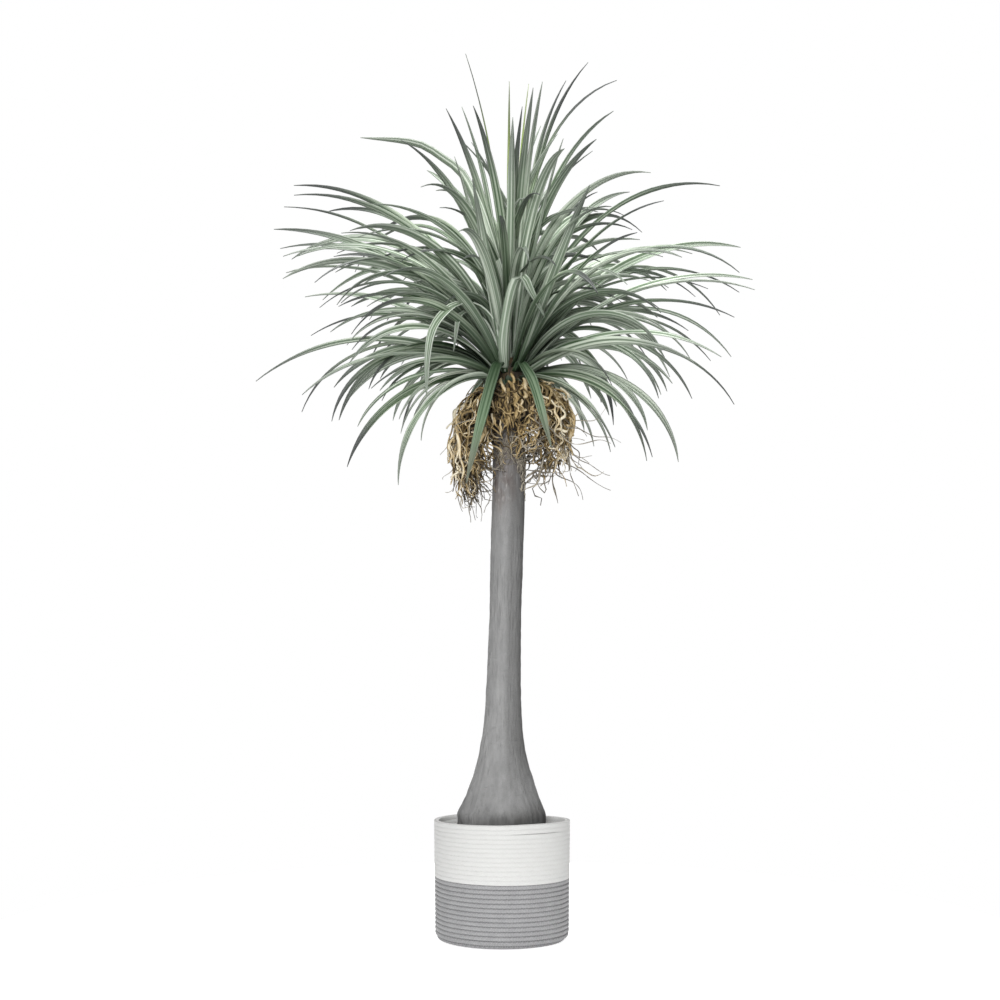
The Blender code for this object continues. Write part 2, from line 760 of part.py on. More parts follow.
def build_skirt():
    """Matted fibre hung round the top of the trunk, with strands that stand out of it, fused in one piece."""
    grip = between(TRUNK_OUTLINE, SKIRT_TOP - SKIRT_COLLAR)
    hole = round_hole(grip, SKIRT_SIDES) + SKIRT_SLACK
    outline = [(radius, SKIRT_TOP - drop) for drop, radius in (*SKIRT_OUTER, *SKIRT_INNER)]
    outline += [(hole, SKIRT_TOP - SKIRT_COLLAR), (hole, SKIRT_TOP)]
    bm = turned(outline, SKIRT_SIDES, closed=True)
    depth = SKIRT_OUTER[-1][0]
    for vert in bm.verts:
        turn = math.atan2(vert.co.y, vert.co.x)
        drop = SKIRT_TOP - vert.co.z
        if vert.co.xy.length > hole + CLEARANCE:
            vert.co.xy *= hugged(turn, drop)
        vert.co.z -= hem_drop(turn) * smooth_share(SKIRT_COLLAR, depth, drop)
        vert.co.x += lean(vert.co.z)
    core = new_object("skirt", bm)
    strands = new_collection("strands")
    for layer in range(len(STRAND_LAYERS)):
        for index in range(STRANDS_PER_LAYER):
            rings, point = strand_rings(layer, index)
            blade_object(f"strand_{layer}_{index}", rings, point, strands)
    fuse(core, strands)
    dress(core, "dried_fibre", 60)


def main():
    """Builds every piece of the potted tree."""
    clear_scene()
    build_basket_grey()
    build_basket_white()
    build_grow_pot()
    build_soil()
    build_trunk()
    build_skirt()
    build_crown()


main()
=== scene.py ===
"""Looks of a potted dragon tree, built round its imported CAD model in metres, +Z up, -Y to the viewer.

A grey trunk with a swollen foot carries a crown of striped strap leaves over a skirt of dried fibre. It
stands in potting mix, in a plain grow pot, inside a basket coiled from grey and white cotton rope.
"""

import logging
import math
import random
from collections.abc import Callable
from dataclasses import dataclass, field
from enum import Enum

import bmesh
import bpy
from mathutils import Matrix, Vector, noise


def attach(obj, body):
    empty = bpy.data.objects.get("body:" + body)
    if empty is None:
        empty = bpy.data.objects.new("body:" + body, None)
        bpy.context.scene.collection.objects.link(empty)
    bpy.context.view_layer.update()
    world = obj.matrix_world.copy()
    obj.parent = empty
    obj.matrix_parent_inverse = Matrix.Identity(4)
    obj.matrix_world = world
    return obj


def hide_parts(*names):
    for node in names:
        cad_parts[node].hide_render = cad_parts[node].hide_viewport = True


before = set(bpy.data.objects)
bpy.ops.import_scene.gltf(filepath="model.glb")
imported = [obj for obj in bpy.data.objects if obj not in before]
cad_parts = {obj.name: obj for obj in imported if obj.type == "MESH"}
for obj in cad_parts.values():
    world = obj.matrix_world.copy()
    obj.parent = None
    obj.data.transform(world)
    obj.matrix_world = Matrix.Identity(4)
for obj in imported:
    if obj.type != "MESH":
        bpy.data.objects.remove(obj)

LOG = logging.getLogger("dragon_tree")
BODY = "root"

Colour = tuple[float, float, float]
Place = tuple[float, float, float]
Term = "Tone | float"


class Tone:
    """A number that varies over a surface. Python's operators on it add Math nodes."""

    def __init__(self, recipe: "Recipe", socket: bpy.types.NodeSocket) -> None:
        """Wraps a socket.

        Args:
            recipe: The material's nodes.
            socket: The output that carries the number.
        """
        self.recipe = recipe
        self.socket = socket

    def math(self, operation: str, *terms: Term) -> "Tone":
        """Adds a Math node.

        Args:
            operation: The node's operation.
            *terms: Its inputs in order.

        Returns:
            The node's result.
        """
        made = self.recipe.node("ShaderNodeMath", {"operation": operation}, dict(enumerate(terms)))
        return Tone(self.recipe, made.outputs[0])

    def __add__(self, other: Term) -> "Tone":
        """This and the other, added."""
        return self.math("ADD", self, other)

    def __radd__(self, other: Term) -> "Tone":
        """The other and this, added."""
        return self.math("ADD", other, self)

    def __sub__(self, other: Term) -> "Tone":
        """This less the other."""
        return self.math("SUBTRACT", self, other)

    def __rsub__(self, other: Term) -> "Tone":
        """The other less this."""
        return self.math("SUBTRACT", other, self)

    def __mul__(self, other: Term) -> "Tone":
        """This times the other."""
        return self.math("MULTIPLY", self, other)

    def __rmul__(self, other: Term) -> "Tone":
        """The other times this."""
        return self.math("MULTIPLY", other, self)

    def __truediv__(self, other: Term) -> "Tone":
        """This over the other."""
        return self.math("DIVIDE", self, other)

    def __rtruediv__(self, other: Term) -> "Tone":
        """The other over this."""
        return self.math("DIVIDE", other, self)

    def __abs__(self) -> "Tone":
        """This without its sign."""
        return self.math("ABSOLUTE", self)

    def wave(self) -> "Tone":
        """A wave from 0 to 1 and back for every 1 of this."""
        return self.math("SINE", self * math.tau) * 0.5 + 0.5

    def part(self) -> "Tone":
        """What is left of this over a whole number."""
        return self.math("FRACT", self)

    def rise(self, low: float, high: float) -> "Tone":
        """An S curve of this.

        Args:
            low: Where it leaves 0. Above high, the curve falls instead.
            high: Where it reaches 1.

        Returns:
            The curve, from 0 to 1.
        """
        down = low > high
        span = {0: self, 1: min(low, high), 2: max(low, high), 3: float(down), 4: float(not down)}
        made = self.recipe.node("ShaderNodeMapRange", {"interpolation_type": "SMOOTHSTEP"}, span)
        return Tone(self.recipe, made.outputs[0])


class Recipe:
    """The nodes of one material."""

    def __init__(self, name: str, **even: float | tuple) -> None:
        """Starts a material.

        Args:
            name: The material's name.
            **even: What is the same all over, by the shader's socket names with _ for a space.
        """
        self.material = bpy.data.materials.new(name)
        self.material.use_nodes = True
        self.tree = self.material.node_tree
        self.shader = self.tree.nodes["Principled BSDF"]
        for word, value in even.items():
            self.shader.inputs[word.replace("_", " ")].default_value = value

    def node(self, kind: str, settings: dict | None = None, sockets: dict | None = None) -> bpy.types.Node:
        """Adds a node.

        Args:
            kind: The node's type.
            settings: Its settings, set first. A ramp's stops are (place, colour) pairs.
            sockets: Values or links of its inputs, by name or number.

        Returns:
            The node.
        """
        made = self.tree.nodes.new(kind)
        for word, value in (settings or {}).items():
            if word == "stops":
                ramp = made.color_ramp
                for place, _ in value[2:]:
                    ramp.elements.new(place)
                for stop, (place, colour) in zip(ramp.elements, value):
                    stop.position = place
                    stop.color = (*colour, 1.0)
            else:
                setattr(made, word, value)
        for word, value in (sockets or {}).items():
            self.feed(value, made.inputs[word])
        return made

    def feed(self, value: object, socket: bpy.types.NodeSocket) -> None:
        """Links a tone or socket to an input, or sets its value.

        Args:
            value: The tone, socket, number, colour or vector.
            socket: The input.
        """
        if isinstance(value, Tone):
            self.tree.links.new(value.socket, socket)
        elif isinstance(value, bpy.types.NodeSocket):
            self.tree.links.new(value, socket)
        elif isinstance(value, tuple) and len(socket.default_value) == 4:
            socket.default_value = (*value, 1.0)
        else:
            socket.default_value = value

    def place(self) -> bpy.types.NodeSocket:
        """Where a point is on the object, in metres."""
        return self.node("ShaderNodeTexCoord").outputs["Object"]

    def split(self, vector: bpy.types.NodeSocket) -> tuple[Tone, Tone, Tone]:
        """The three parts of a vector."""
        made = self.node("ShaderNodeSeparateXYZ", {}, {0: vector})
        return tuple(Tone(self, out) for out in made.outputs)

    def joined(self, x: Term, y: Term, z: Term) -> bpy.types.NodeSocket:
        """A vector of three numbers."""
        return self.node("ShaderNodeCombineXYZ", {}, {0: x, 1: y, 2: z}).outputs[0]

    def attribute(self, name: str) -> Tone:
        """A number kept on the piece's own mesh."""
        return Tone(self, self.node("ShaderNodeAttribute", {"attribute_name": name}).outputs["Fac"])

    def ribbon(self) -> tuple[Tone, Tone]:
        """Place across a ribbon and along it, each 0 to 1, from its UV map."""
        return self.split(self.node("ShaderNodeUVMap", {"uv_map": "ribbon"}).outputs[0])[:2]

    def noise(self, place: bpy.types.NodeSocket, scale: float, detail: float) -> Tone:
        """Cloudy noise, round 0.5.

        Args:
            place: The coordinates.
            scale: How fine it is.
            detail: How many finer layers it has.

        Returns:
            The noise.
        """
        made = self.node("ShaderNodeTexNoise", {}, {"Vector": place, "Scale": scale, "Detail": detail})
        return Tone(self, made.outputs["Fac"])

    def grain(self, scale: float, detail: float, squeeze: Place = (1, 1, 1)) -> Tone:
        """Cloudy noise over the object, whose coordinates are squeezed by axis."""
        sockets = {0: self.place(), 1: squeeze}
        place = self.node("ShaderNodeVectorMath", {"operation": "MULTIPLY"}, sockets).outputs[0]
        return self.noise(place, scale, detail)

    def mix(self, share: Term, first: object, second: object) -> bpy.types.NodeSocket:
        """A colour between two, by the share of the second, 0 to 1."""
        return self.node("ShaderNodeMix", {"data_type": "RGBA"}, {0: share, 6: first, 7: second}).outputs[2]

    def ramp(self, share: Tone, stops: tuple) -> bpy.types.NodeSocket:
        """A colour from a ramp of (place, colour) stops."""
        return self.node("ShaderNodeValToRGB", {"stops": stops}, {0: share}).outputs[0]

    def finished(
        self, colour: object, height: Tone, depth: float, rough: Tone | None = None
    ) -> bpy.types.Material:
        """Joins the colour, roughness and relief to the shader.

        Args:
            colour: The base colour.
            height: The relief, 0 to 1.
            depth: How deep the relief is, in metres.
            rough: The roughness, where it varies.

        Returns:
            The material.
        """
        self.feed(colour, self.shader.inputs["Base Color"])
        if rough is not None:
            self.feed(rough, self.shader.inputs["Roughness"])
        relief = self.node("ShaderNodeBump", {}, {"Strength": 1.0, "Distance": depth, "Height": height})
        self.feed(relief.outputs[0], self.shader.inputs["Normal"])
        return self.material


class RopeShade(Enum):
    """The two ropes: fibre, shaded plies, thread, how much painted shade darkens the grooves, and how flat
    the rope lies.
    """

    GREY = ((0.345, 0.345, 0.35), (0.175, 0.175, 0.18), (0.39, 0.39, 0.39), 0.34, 0.70)
    WHITE = ((0.565, 0.565, 0.555), (0.505, 0.505, 0.495), (0.58, 0.58, 0.57), 0.3, 0.12)

    @property
    def fullness(self) -> float:
        """Power that turns the rope's round section into a flatter one, which fills its grooves."""
        return self.value[4]


@dataclass(frozen=True)
class RopeFinish:
    """Braided cotton, sewn coil to coil with a zigzag of thread."""

    shade: RopeShade
    ply: float = 0.0046
    stitches: int = 84
    stitch_reach: float = 0.24
    thread: float = 0.045
    # Height below which a painted contact shadow darkens the rope
    contact_shadow_below: float = 0.016
    relief: float = 0.0005
    # Share of painted light on the rope's inner faces, and its colour
    painted_inside_light: float = 0.0
    inside_light_colour: Colour = (0.94, 0.94, 0.92)

    def material(self) -> bpy.types.Material:
        """Makes the material."""
        fibre, dim, thread, depth, _ = self.shade.value
        recipe = Recipe(f"rope_{self.shade.name.lower()}", Roughness=0.92, Sheen_Weight=0.15)
        along, up, turns = (recipe.attribute(word) for word in ("along", "up", "turns"))
        wander = recipe.grain(260, 2)
        plait = (along / self.ply + abs(up) * 0.8 + wander * 1.6).wave()
        crossing = (along / self.ply * 2 - up * 0.7 + wander * 2.4).wave()
        fuzz = recipe.grain(1500, 2)
        cloud = recipe.grain(60, 2)
        zigzag = abs((turns * self.stitches).part() * 2 - 1) * 2 - 1
        off = abs((up * 0.5).part() - 0.5 - zigzag * self.stitch_reach)
        sewn = off.rise(self.thread * 1.5, self.thread * 0.6)
        # Painted shade in the grooves between the coils
        groove_shade = abs(up).rise(0.45, 1.0)
        # Painted contact shadow, darker towards the bottom of the basket
        contact_shadow = recipe.split(recipe.place())[2].rise(self.contact_shadow_below, 0.002)
        cloth = plait * 0.24 + crossing * 0.14 + fuzz * 0.7 + cloud * 0.4 - 0.22
        cloth = cloth - groove_shade * depth - contact_shadow * 0.5
        # Painted light lightens the rope's inner faces
        painted_inside_light = recipe.attribute("inside") * self.painted_inside_light
        colour = recipe.mix(painted_inside_light, recipe.mix(cloth, dim, fibre), self.inside_light_colour)
        colour = recipe.mix(sewn * 0.6, colour, thread)
        return recipe.finished(colour, plait * 0.55 + fuzz * 0.35 + sewn * 0.6, self.relief)


@dataclass(frozen=True)
class PlasticFinish:
    """Moulded black plastic of a grow pot, faintly grained."""

    colour: Colour = (0.022, 0.022, 0.024)
    worn: Colour = (0.045, 0.044, 0.043)

    def material(self) -> bpy.types.Material:
        """Makes the material."""
        recipe = Recipe("pot_plastic")
        grain = recipe.grain(900, 2)
        smear = recipe.grain(25, 3, (1, 1, 0.3))
        colour = recipe.mix(smear, self.colour, self.worn)
        return recipe.finished(colour, grain, 0.0002, smear * 0.3 + 0.38)


@dataclass(frozen=True)
class MixFinish:
    """Potting mix: bark, peat and a few white grains. Each crumb's tone is kept on its mesh."""

    damp_soil_and_shaded_bark: Colour = (0.012, 0.008, 0.005)
    peat: Colour = (0.045, 0.028, 0.016)
    chip: Colour = (0.13, 0.075, 0.038)
    grain: Colour = (0.62, 0.60, 0.55)

    def material(self) -> bpy.types.Material:
        """Makes the material."""
        recipe = Recipe("potting_mix", Roughness=0.95)
        tone = recipe.attribute("tone")
        crumb = recipe.grain(420, 4)
        stops = ((0.0, self.damp_soil_and_shaded_bark), (0.45, self.peat), (0.88, self.chip), (0.95, self.grain))
        colour = recipe.ramp(tone * 0.85 + crumb * 0.3 - 0.08, stops)
        return recipe.finished(colour, crumb, 0.002)


@dataclass(frozen=True)
class BarkFinish:
    """Smooth grey bark with faint upright streaks, darker at the foot, purplish brown at the top and painted
    shade at the right.
    """

    pale: Colour = (0.322, 0.322, 0.320)
    grey: Colour = (0.182, 0.182, 0.182)
    crack: Colour = (0.070, 0.070, 0.068)
    foot: Colour = (0.080, 0.078, 0.074)
    crest: Colour = (0.118, 0.092, 0.082)
    scale: Colour = (0.40, 0.385, 0.37)
    # Heights between which two darkenings of the foot fade, both higher on the right where they are painted
    # shade, and those between which the top turns brown
    dark_foot_heights: tuple = (0.285, 0.225)
    darker_foot_heights: tuple = (0.285, 0.245)
    ripening: tuple = (0.72, 0.85)
    relief: float = 0.0022

    def material(self) -> bpy.types.Material:
        """Makes the material."""
        recipe = Recipe("bark", Roughness=0.86)
        right, _, height = recipe.split(recipe.place())
        streak = recipe.grain(110, 5, (1, 1, 0.14))
        blotch = recipe.grain(30, 4, (1, 1, 0.30))
        fleck = recipe.grain(210, 3, (1, 1, 0.45))
        mottle = recipe.grain(75, 4, (1, 1, 0.5))
        grit = recipe.grain(700, 3)
        hair = recipe.grain(330, 3, (1, 1, 0.07))
        cracked = hair.rise(0.50, 0.74) * blotch.rise(0.42, 0.60)
        ringed = recipe.grain(150, 3, (0.35, 0.35, 1))
        scar = ringed.rise(0.58, 0.72) * blotch.rise(0.62, 0.42)
        light = streak * 0.6 + blotch + fleck * 0.4 + mottle * 0.6 - 0.80
        colour = recipe.mix(light, self.grey, self.pale)
        colour = recipe.mix(cracked * 0.20 + scar * 0.16, colour, self.crack)
        patch = recipe.grain(26, 2, (1, 1, 0.7))
        # Darker towards the bottom of the foot, reaching higher on its right side, where it is painted shade
        low = (height + patch * 0.10 - right * 0.35).rise(*self.dark_foot_heights)
        dark_foot = low * (mottle.rise(0.40, 0.62) * 0.80 + 0.20)
        colour = recipe.mix(dark_foot * 0.78, colour, self.foot)
        # Darker still low on the foot, again higher on its right side, where it is painted shade
        darker_foot = (height + mottle * 0.12 - right * 0.20).rise(*self.darker_foot_heights)
        colour = recipe.mix(darker_foot * 0.68, colour, self.crack)
        ripe = (height + blotch * 0.10).rise(*self.ripening)
        colour = recipe.mix(ripe * (mottle.rise(0.35, 0.65) * 0.7 + 0.3), colour, self.crest)
        colour = recipe.mix(ripe * fleck.rise(0.58, 0.70) * 0.7, colour, self.scale)
        # Painted shade: the bark darkens towards its right side above the foot, mixed in with the fine grit
        damp_soil_and_shaded_bark = (right - height * 0.016 + blotch * 0.014).rise(0.001, 0.014) * 0.6
        damp_soil_and_shaded_bark = (damp_soil_and_shaded_bark + (right - height * 0.016).rise(0.010, 0.030) * 0.4) * height.rise(0.20, 0.34)
        colour = recipe.mix((grit - 0.5) * 0.6 + 0.02 + damp_soil_and_shaded_bark * 0.78, colour, self.crack)
        relief = streak * 0.5 + grit * 0.25 - cracked * 0.4 - scar * 0.2 + mottle * (dark_foot + ripe) * 0.5 + 0.2
        return recipe.finished(colour, relief, self.relief)


class FibreKind(Enum):
    """Kinds of dried fibre: the broad strips, the hairs that stand out of them, and the mat beneath, dark
    with painted shade.
    """

    STRIP = "strips"
    WHISKER = "whiskers"
    MAT = "mat"


@dataclass(frozen=True)
class FibreFinish:
    """Dried fibre. Each ribbon's tone is kept on its mesh and streaks run along it."""

    kind: FibreKind
    soot: Colour = (0.016, 0.010, 0.004)
    brown: Colour = (0.105, 0.071, 0.029)
    ochre: Colour = (0.350, 0.244, 0.096)
    straw: Colour = (0.62, 0.480, 0.265)
    cream: Colour = (0.86, 0.780, 0.60)
    hairs: tuple = ((0.115, 0.098, 0.074), (0.30, 0.268, 0.215), (0.50, 0.45, 0.35))

    def material(self) -> bpy.types.Material:
        """Makes the material."""
        recipe = Recipe(f"dried_fibre_{self.kind.value}", Roughness=0.8)
        if self.kind is FibreKind.MAT:
            # The mat stands for the fibre deeper in; its darkness is painted shade in the gaps between the
            # strips
            streak = recipe.grain(260, 4, (1, 1, 0.3))
            colour = recipe.ramp(streak, ((0.42, self.soot), (0.68, self.brown), (0.9, self.ochre)))
            return recipe.finished(colour, streak, 0.004)
        tone = recipe.attribute("tone")
        across, along = recipe.ribbon()
        streak = recipe.noise(recipe.joined(across * 5 + tone * 71, along * 9, tone * 13), 1.0, 3)
        blotch = recipe.grain(90, 2)
        if self.kind is FibreKind.WHISKER:
            stops = tuple(zip((0.0, 0.5, 1.0), self.hairs))
        else:
            hues = (self.soot, self.brown, self.ochre, self.straw, self.cream)
            stops = tuple(zip((0.0, 0.24, 0.5, 0.76, 1.0), hues))
        # Painted shade darkens each strip towards its edges
        edge = abs(across * 2 - 1).rise(0.45, 1.0)
        colour = recipe.ramp(tone * 1.18 + streak * 0.42 + blotch * 0.5 - edge * 0.24 - 0.31, stops)
        return recipe.finished(colour, streak, 0.0012, streak * 0.3 + 0.6)


class LeafFace(Enum):
    """Faces of the leaves: band and stripe of a deep leaf, band and stripe of a pale one, and the dry tip."""

    UPPER = (
        ((0.024, 0.058, 0.019), (0.42, 0.52, 0.36)),
        ((0.145, 0.215, 0.125), (0.86, 0.94, 0.81)),
        (0.072, 0.080, 0.075),
    )
    UNDER = (
        ((0.055, 0.098, 0.048), (0.44, 0.52, 0.39)),
        ((0.200, 0.262, 0.184), (0.80, 0.87, 0.75)),
        (0.085, 0.093, 0.088),
    )
    YOUNG = (
        ((0.16, 0.27, 0.035), (0.34, 0.47, 0.10)),
        ((0.24, 0.36, 0.06), (0.52, 0.60, 0.26)),
        (0.07, 0.085, 0.06),
    )
    FRESH = (
        ((0.052, 0.110, 0.048), (0.24, 0.34, 0.21)),
        ((0.078, 0.140, 0.070), (0.34, 0.44, 0.30)),
        (0.15, 0.16, 0.12),
    )


@dataclass(frozen=True)
class LeafFinish:
    """A striped strap leaf: green bands, sage stripes, pale margins, painted shade at the base and in the
    crown's heart, and a dry grey tip.
    """

    face: LeafFace
    stripe_count: float = 5.5
    # Middle of the crown and the distances over which its painted shade fades in
    heart: Place = (0.0125, 0.0, 1.000)
    heart_reach: tuple = (0.23, 0.055)
    relief: float = 0.0006
    painted_shade: Colour = (0.008, 0.020, 0.006)
    outline: Colour = (0.045, 0.058, 0.052)

    def heart_share(self, recipe: Recipe) -> Tone:
        """How far inside the crown a point is, 0 to 1, which sets how much painted shade it gets."""
        sockets = {0: recipe.place(), 1: self.heart}
        far = recipe.node("ShaderNodeVectorMath", {"operation": "DISTANCE"}, sockets)
        return Tone(recipe, far.outputs["Value"]).rise(*self.heart_reach)

    def material(self) -> bpy.types.Material:
        """Makes the material."""
        deep, pale, tip = self.face.value
        recipe = Recipe(f"leaf_{self.face.name.lower()}", Specular_IOR_Level=0.4)
        tone = recipe.attribute("tone")
        across, along = recipe.ribbon()
        edge = abs(across * 2 - 1)
        row = recipe.joined(across * self.stripe_count + tone * 53, along * 0.9, tone * 17)
        streak = recipe.noise(row, 1.0, 2)
        vein = recipe.noise(recipe.joined(across * 30 + tone * 19, along * 1.5, tone * 7), 1.0, 1)
        line = (across * 3 + tone * 2 + streak * 0.5).wave().rise(0.62, 0.95)
        margin = edge.rise(0.74, 0.94) * streak.rise(0.36, 0.56)
        striped = streak.rise(0.50, 0.62) * 0.70 + line * 0.50 + vein.rise(0.45, 0.75) * 0.15 + margin * 0.85
        paleness = tone * 1.3 - 0.18 + along * 0.15
        colour = recipe.mix(paleness, recipe.mix(striped, *deep), recipe.mix(striped, *pale))
        heart = self.heart_share(recipe)
        # Painted shade, darker towards the leaf's base
        shaded = along.rise(0.32, 0.02) * (1.25 - tone) * 0.85
        colour = recipe.mix(shaded, colour, deep[0])
        # Painted shade, darker in the heart of the crown
        colour = recipe.mix(heart * (1.15 - tone) * 0.70, colour, self.painted_shade)
        outline = edge.rise(0.88, 1.0) * 0.36
        colour = recipe.mix(outline, colour, self.outline)
        aged = (along + streak * 0.25).rise(0.68, 1.04) * (1.15 - tone * 0.75)
        colour = recipe.mix(aged, colour, tip)
        return recipe.finished(colour, vein * 0.6 + streak * 0.5, self.relief, vein * 0.16 + 0.36)


def smooth_share(low: float, high: float, value: float) -> float:
    """An S curve.

    Args:
        low: Where it leaves 0.
        high: Where it reaches 1.
        value: Where it is read.

    Returns:
        The curve there.
    """
    share = min(1.0, max(0.0, (value - low) / (high - low)))
    return share * share * (3 - 2 * share)


def between(table: tuple, place: float) -> float:
    """The value at a place in a table of (place, value) rows, on straight lines between them."""
    for (low, first), (high, second) in zip(table, table[1:]):
        if place <= high:
            share = max(0.0, (place - low) / (high - low))
            return first + (second - first) * share
    return table[-1][1]


def round_table(table: tuple, place: float) -> float:
    """The value at a place in a table of (place, value) rows, on a smooth curve through them."""
    for index, ((low, first), (high, second)) in enumerate(zip(table, table[1:])):
        if place <= high or index == len(table) - 2:
            break
    before = table[max(0, index - 1)]
    after = table[min(len(table) - 1, index + 2)]
    leave = (second - before[1]) / (high - before[0]) * (high - low)
    reach = (after[1] - first) / (after[0] - low) * (high - low)
    t = min(1.0, max(0.0, (place - low) / (high - low)))
    bend = (2 * t**3 - 3 * t**2 + 1) * first + (3 * t**2 - 2 * t**3) * second
    return bend + (t**3 - 2 * t**2 + t) * leave + (t**3 - t**2) * reach


def curve_through(points: tuple, steps: int) -> list[Vector]:
    """A smooth curve through a few points.

    Args:
        points: The points, as (x, y, z).
        steps: How many steps the curve has.

    Returns:
        Its points.
    """
    runs = [0.0]
    for first, second in zip(points, points[1:]):
        runs.append(runs[-1] + (Vector(second) - Vector(first)).length)
    tables = [tuple(zip(runs, (point[axis] for point in points))) for axis in range(3)]
    places = [runs[-1] * step / steps for step in range(steps + 1)]
    return [Vector([round_table(table, place) for table in tables]) for place in places]


def new_piece(
    name: str, bm: bmesh.types.BMesh, finishes: list[bpy.types.Material], node: str
) -> bpy.types.Object:
    """Makes a piece of the tree of a bmesh.

    Args:
        name: The piece's name.
        bm: Its shape, which is freed.
        finishes: Its materials.
        node: The CAD node it stands for.

    Returns:
        The piece.
    """
    mesh = bpy.data.meshes.new(name)
    bm.to_mesh(mesh)
    bm.free()
    mesh.shade_smooth()
    mesh.set_sharp_from_angle(angle=math.radians(50))
    for finish in finishes:
        mesh.materials.append(finish)
    piece = bpy.data.objects.new(name, mesh)
    bpy.context.scene.collection.objects.link(piece)
    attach(piece, BODY)
    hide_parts(node)
    LOG.info("%s: %d faces", name, len(mesh.polygons))
    return piece


def new_ribbons() -> bmesh.types.BMesh:
    """An empty bmesh with the UV map and the tone that ribbons carry."""
    bm = bmesh.new()
    bm.loops.layers.uv.new("ribbon")
    bm.verts.layers.float.new("tone")
    return bm


def add_ribbon(
    bm: bmesh.types.BMesh, across: int, along: int, tone: float, spot: Callable[[float, float], Vector]
) -> None:
    """Adds one ribbon: a grid whose corners are moved to their spots.

    Args:
        bm: Where it goes.
        across: How many faces it has across.
        along: How many faces it has along.
        tone: Its own shade, 0 to 1.
        spot: The place of a point, by its share across, -1 to 1, and along, 0 to 1.
    """
    made = bmesh.ops.create_grid(bm, x_segments=across, y_segments=along, size=1, calc_uvs=True)
    layer = bm.verts.layers.float["tone"]
    for vert in made["verts"]:
        vert.co = spot(vert.co.x, (vert.co.y + 1) / 2)
        vert[layer] = tone


def thicken(piece: bpy.types.Object, thickness: float, under: int = 0) -> None:
    """Gives a piece of ribbons their thickness.

    Args:
        piece: The piece.
        thickness: How thick they get, in metres.
        under: How many slots further on the finish of their underside is.
    """
    wall = piece.modifiers.new("thickness", "SOLIDIFY")
    wall.thickness = thickness
    wall.offset = 0.0
    wall.material_offset = under


def spin(bm: bmesh.types.BMesh, steps: int, angle: float = math.tau) -> None:
    """Spins all of a bmesh round Z. A full turn is joined up."""
    settings = {"axis": (0, 0, 1), "cent": (0, 0, 0), "angle": angle, "use_merge": angle == math.tau}
    bmesh.ops.spin(bm, geom=bm.verts[:] + bm.edges[:], steps=steps, **settings)


def spin_outline(bm: bmesh.types.BMesh, outline: list[tuple], steps: int, closed: bool = False) -> None:
    """Spins an outline once round Z.

    Args:
        bm: Where it goes, empty so far.
        outline: Its (radius, height) points.
        steps: How many steps the turn has.
        closed: Whether its last point joins its first.
    """
    verts = [bm.verts.new((radius, 0, height)) for radius, height in outline]
    for pair in zip(verts, (*verts[1:], verts[0]) if closed else verts[1:]):
        bm.edges.new(pair)
    spin(bm, steps)


def close(bm: bmesh.types.BMesh) -> None:
    """Caps the open ends and turns every face outward."""
    bmesh.ops.holes_fill(bm, edges=[edge for edge in bm.edges if edge.is_boundary], sides=0)
    bmesh.ops.recalc_face_normals(bm, faces=bm.faces)


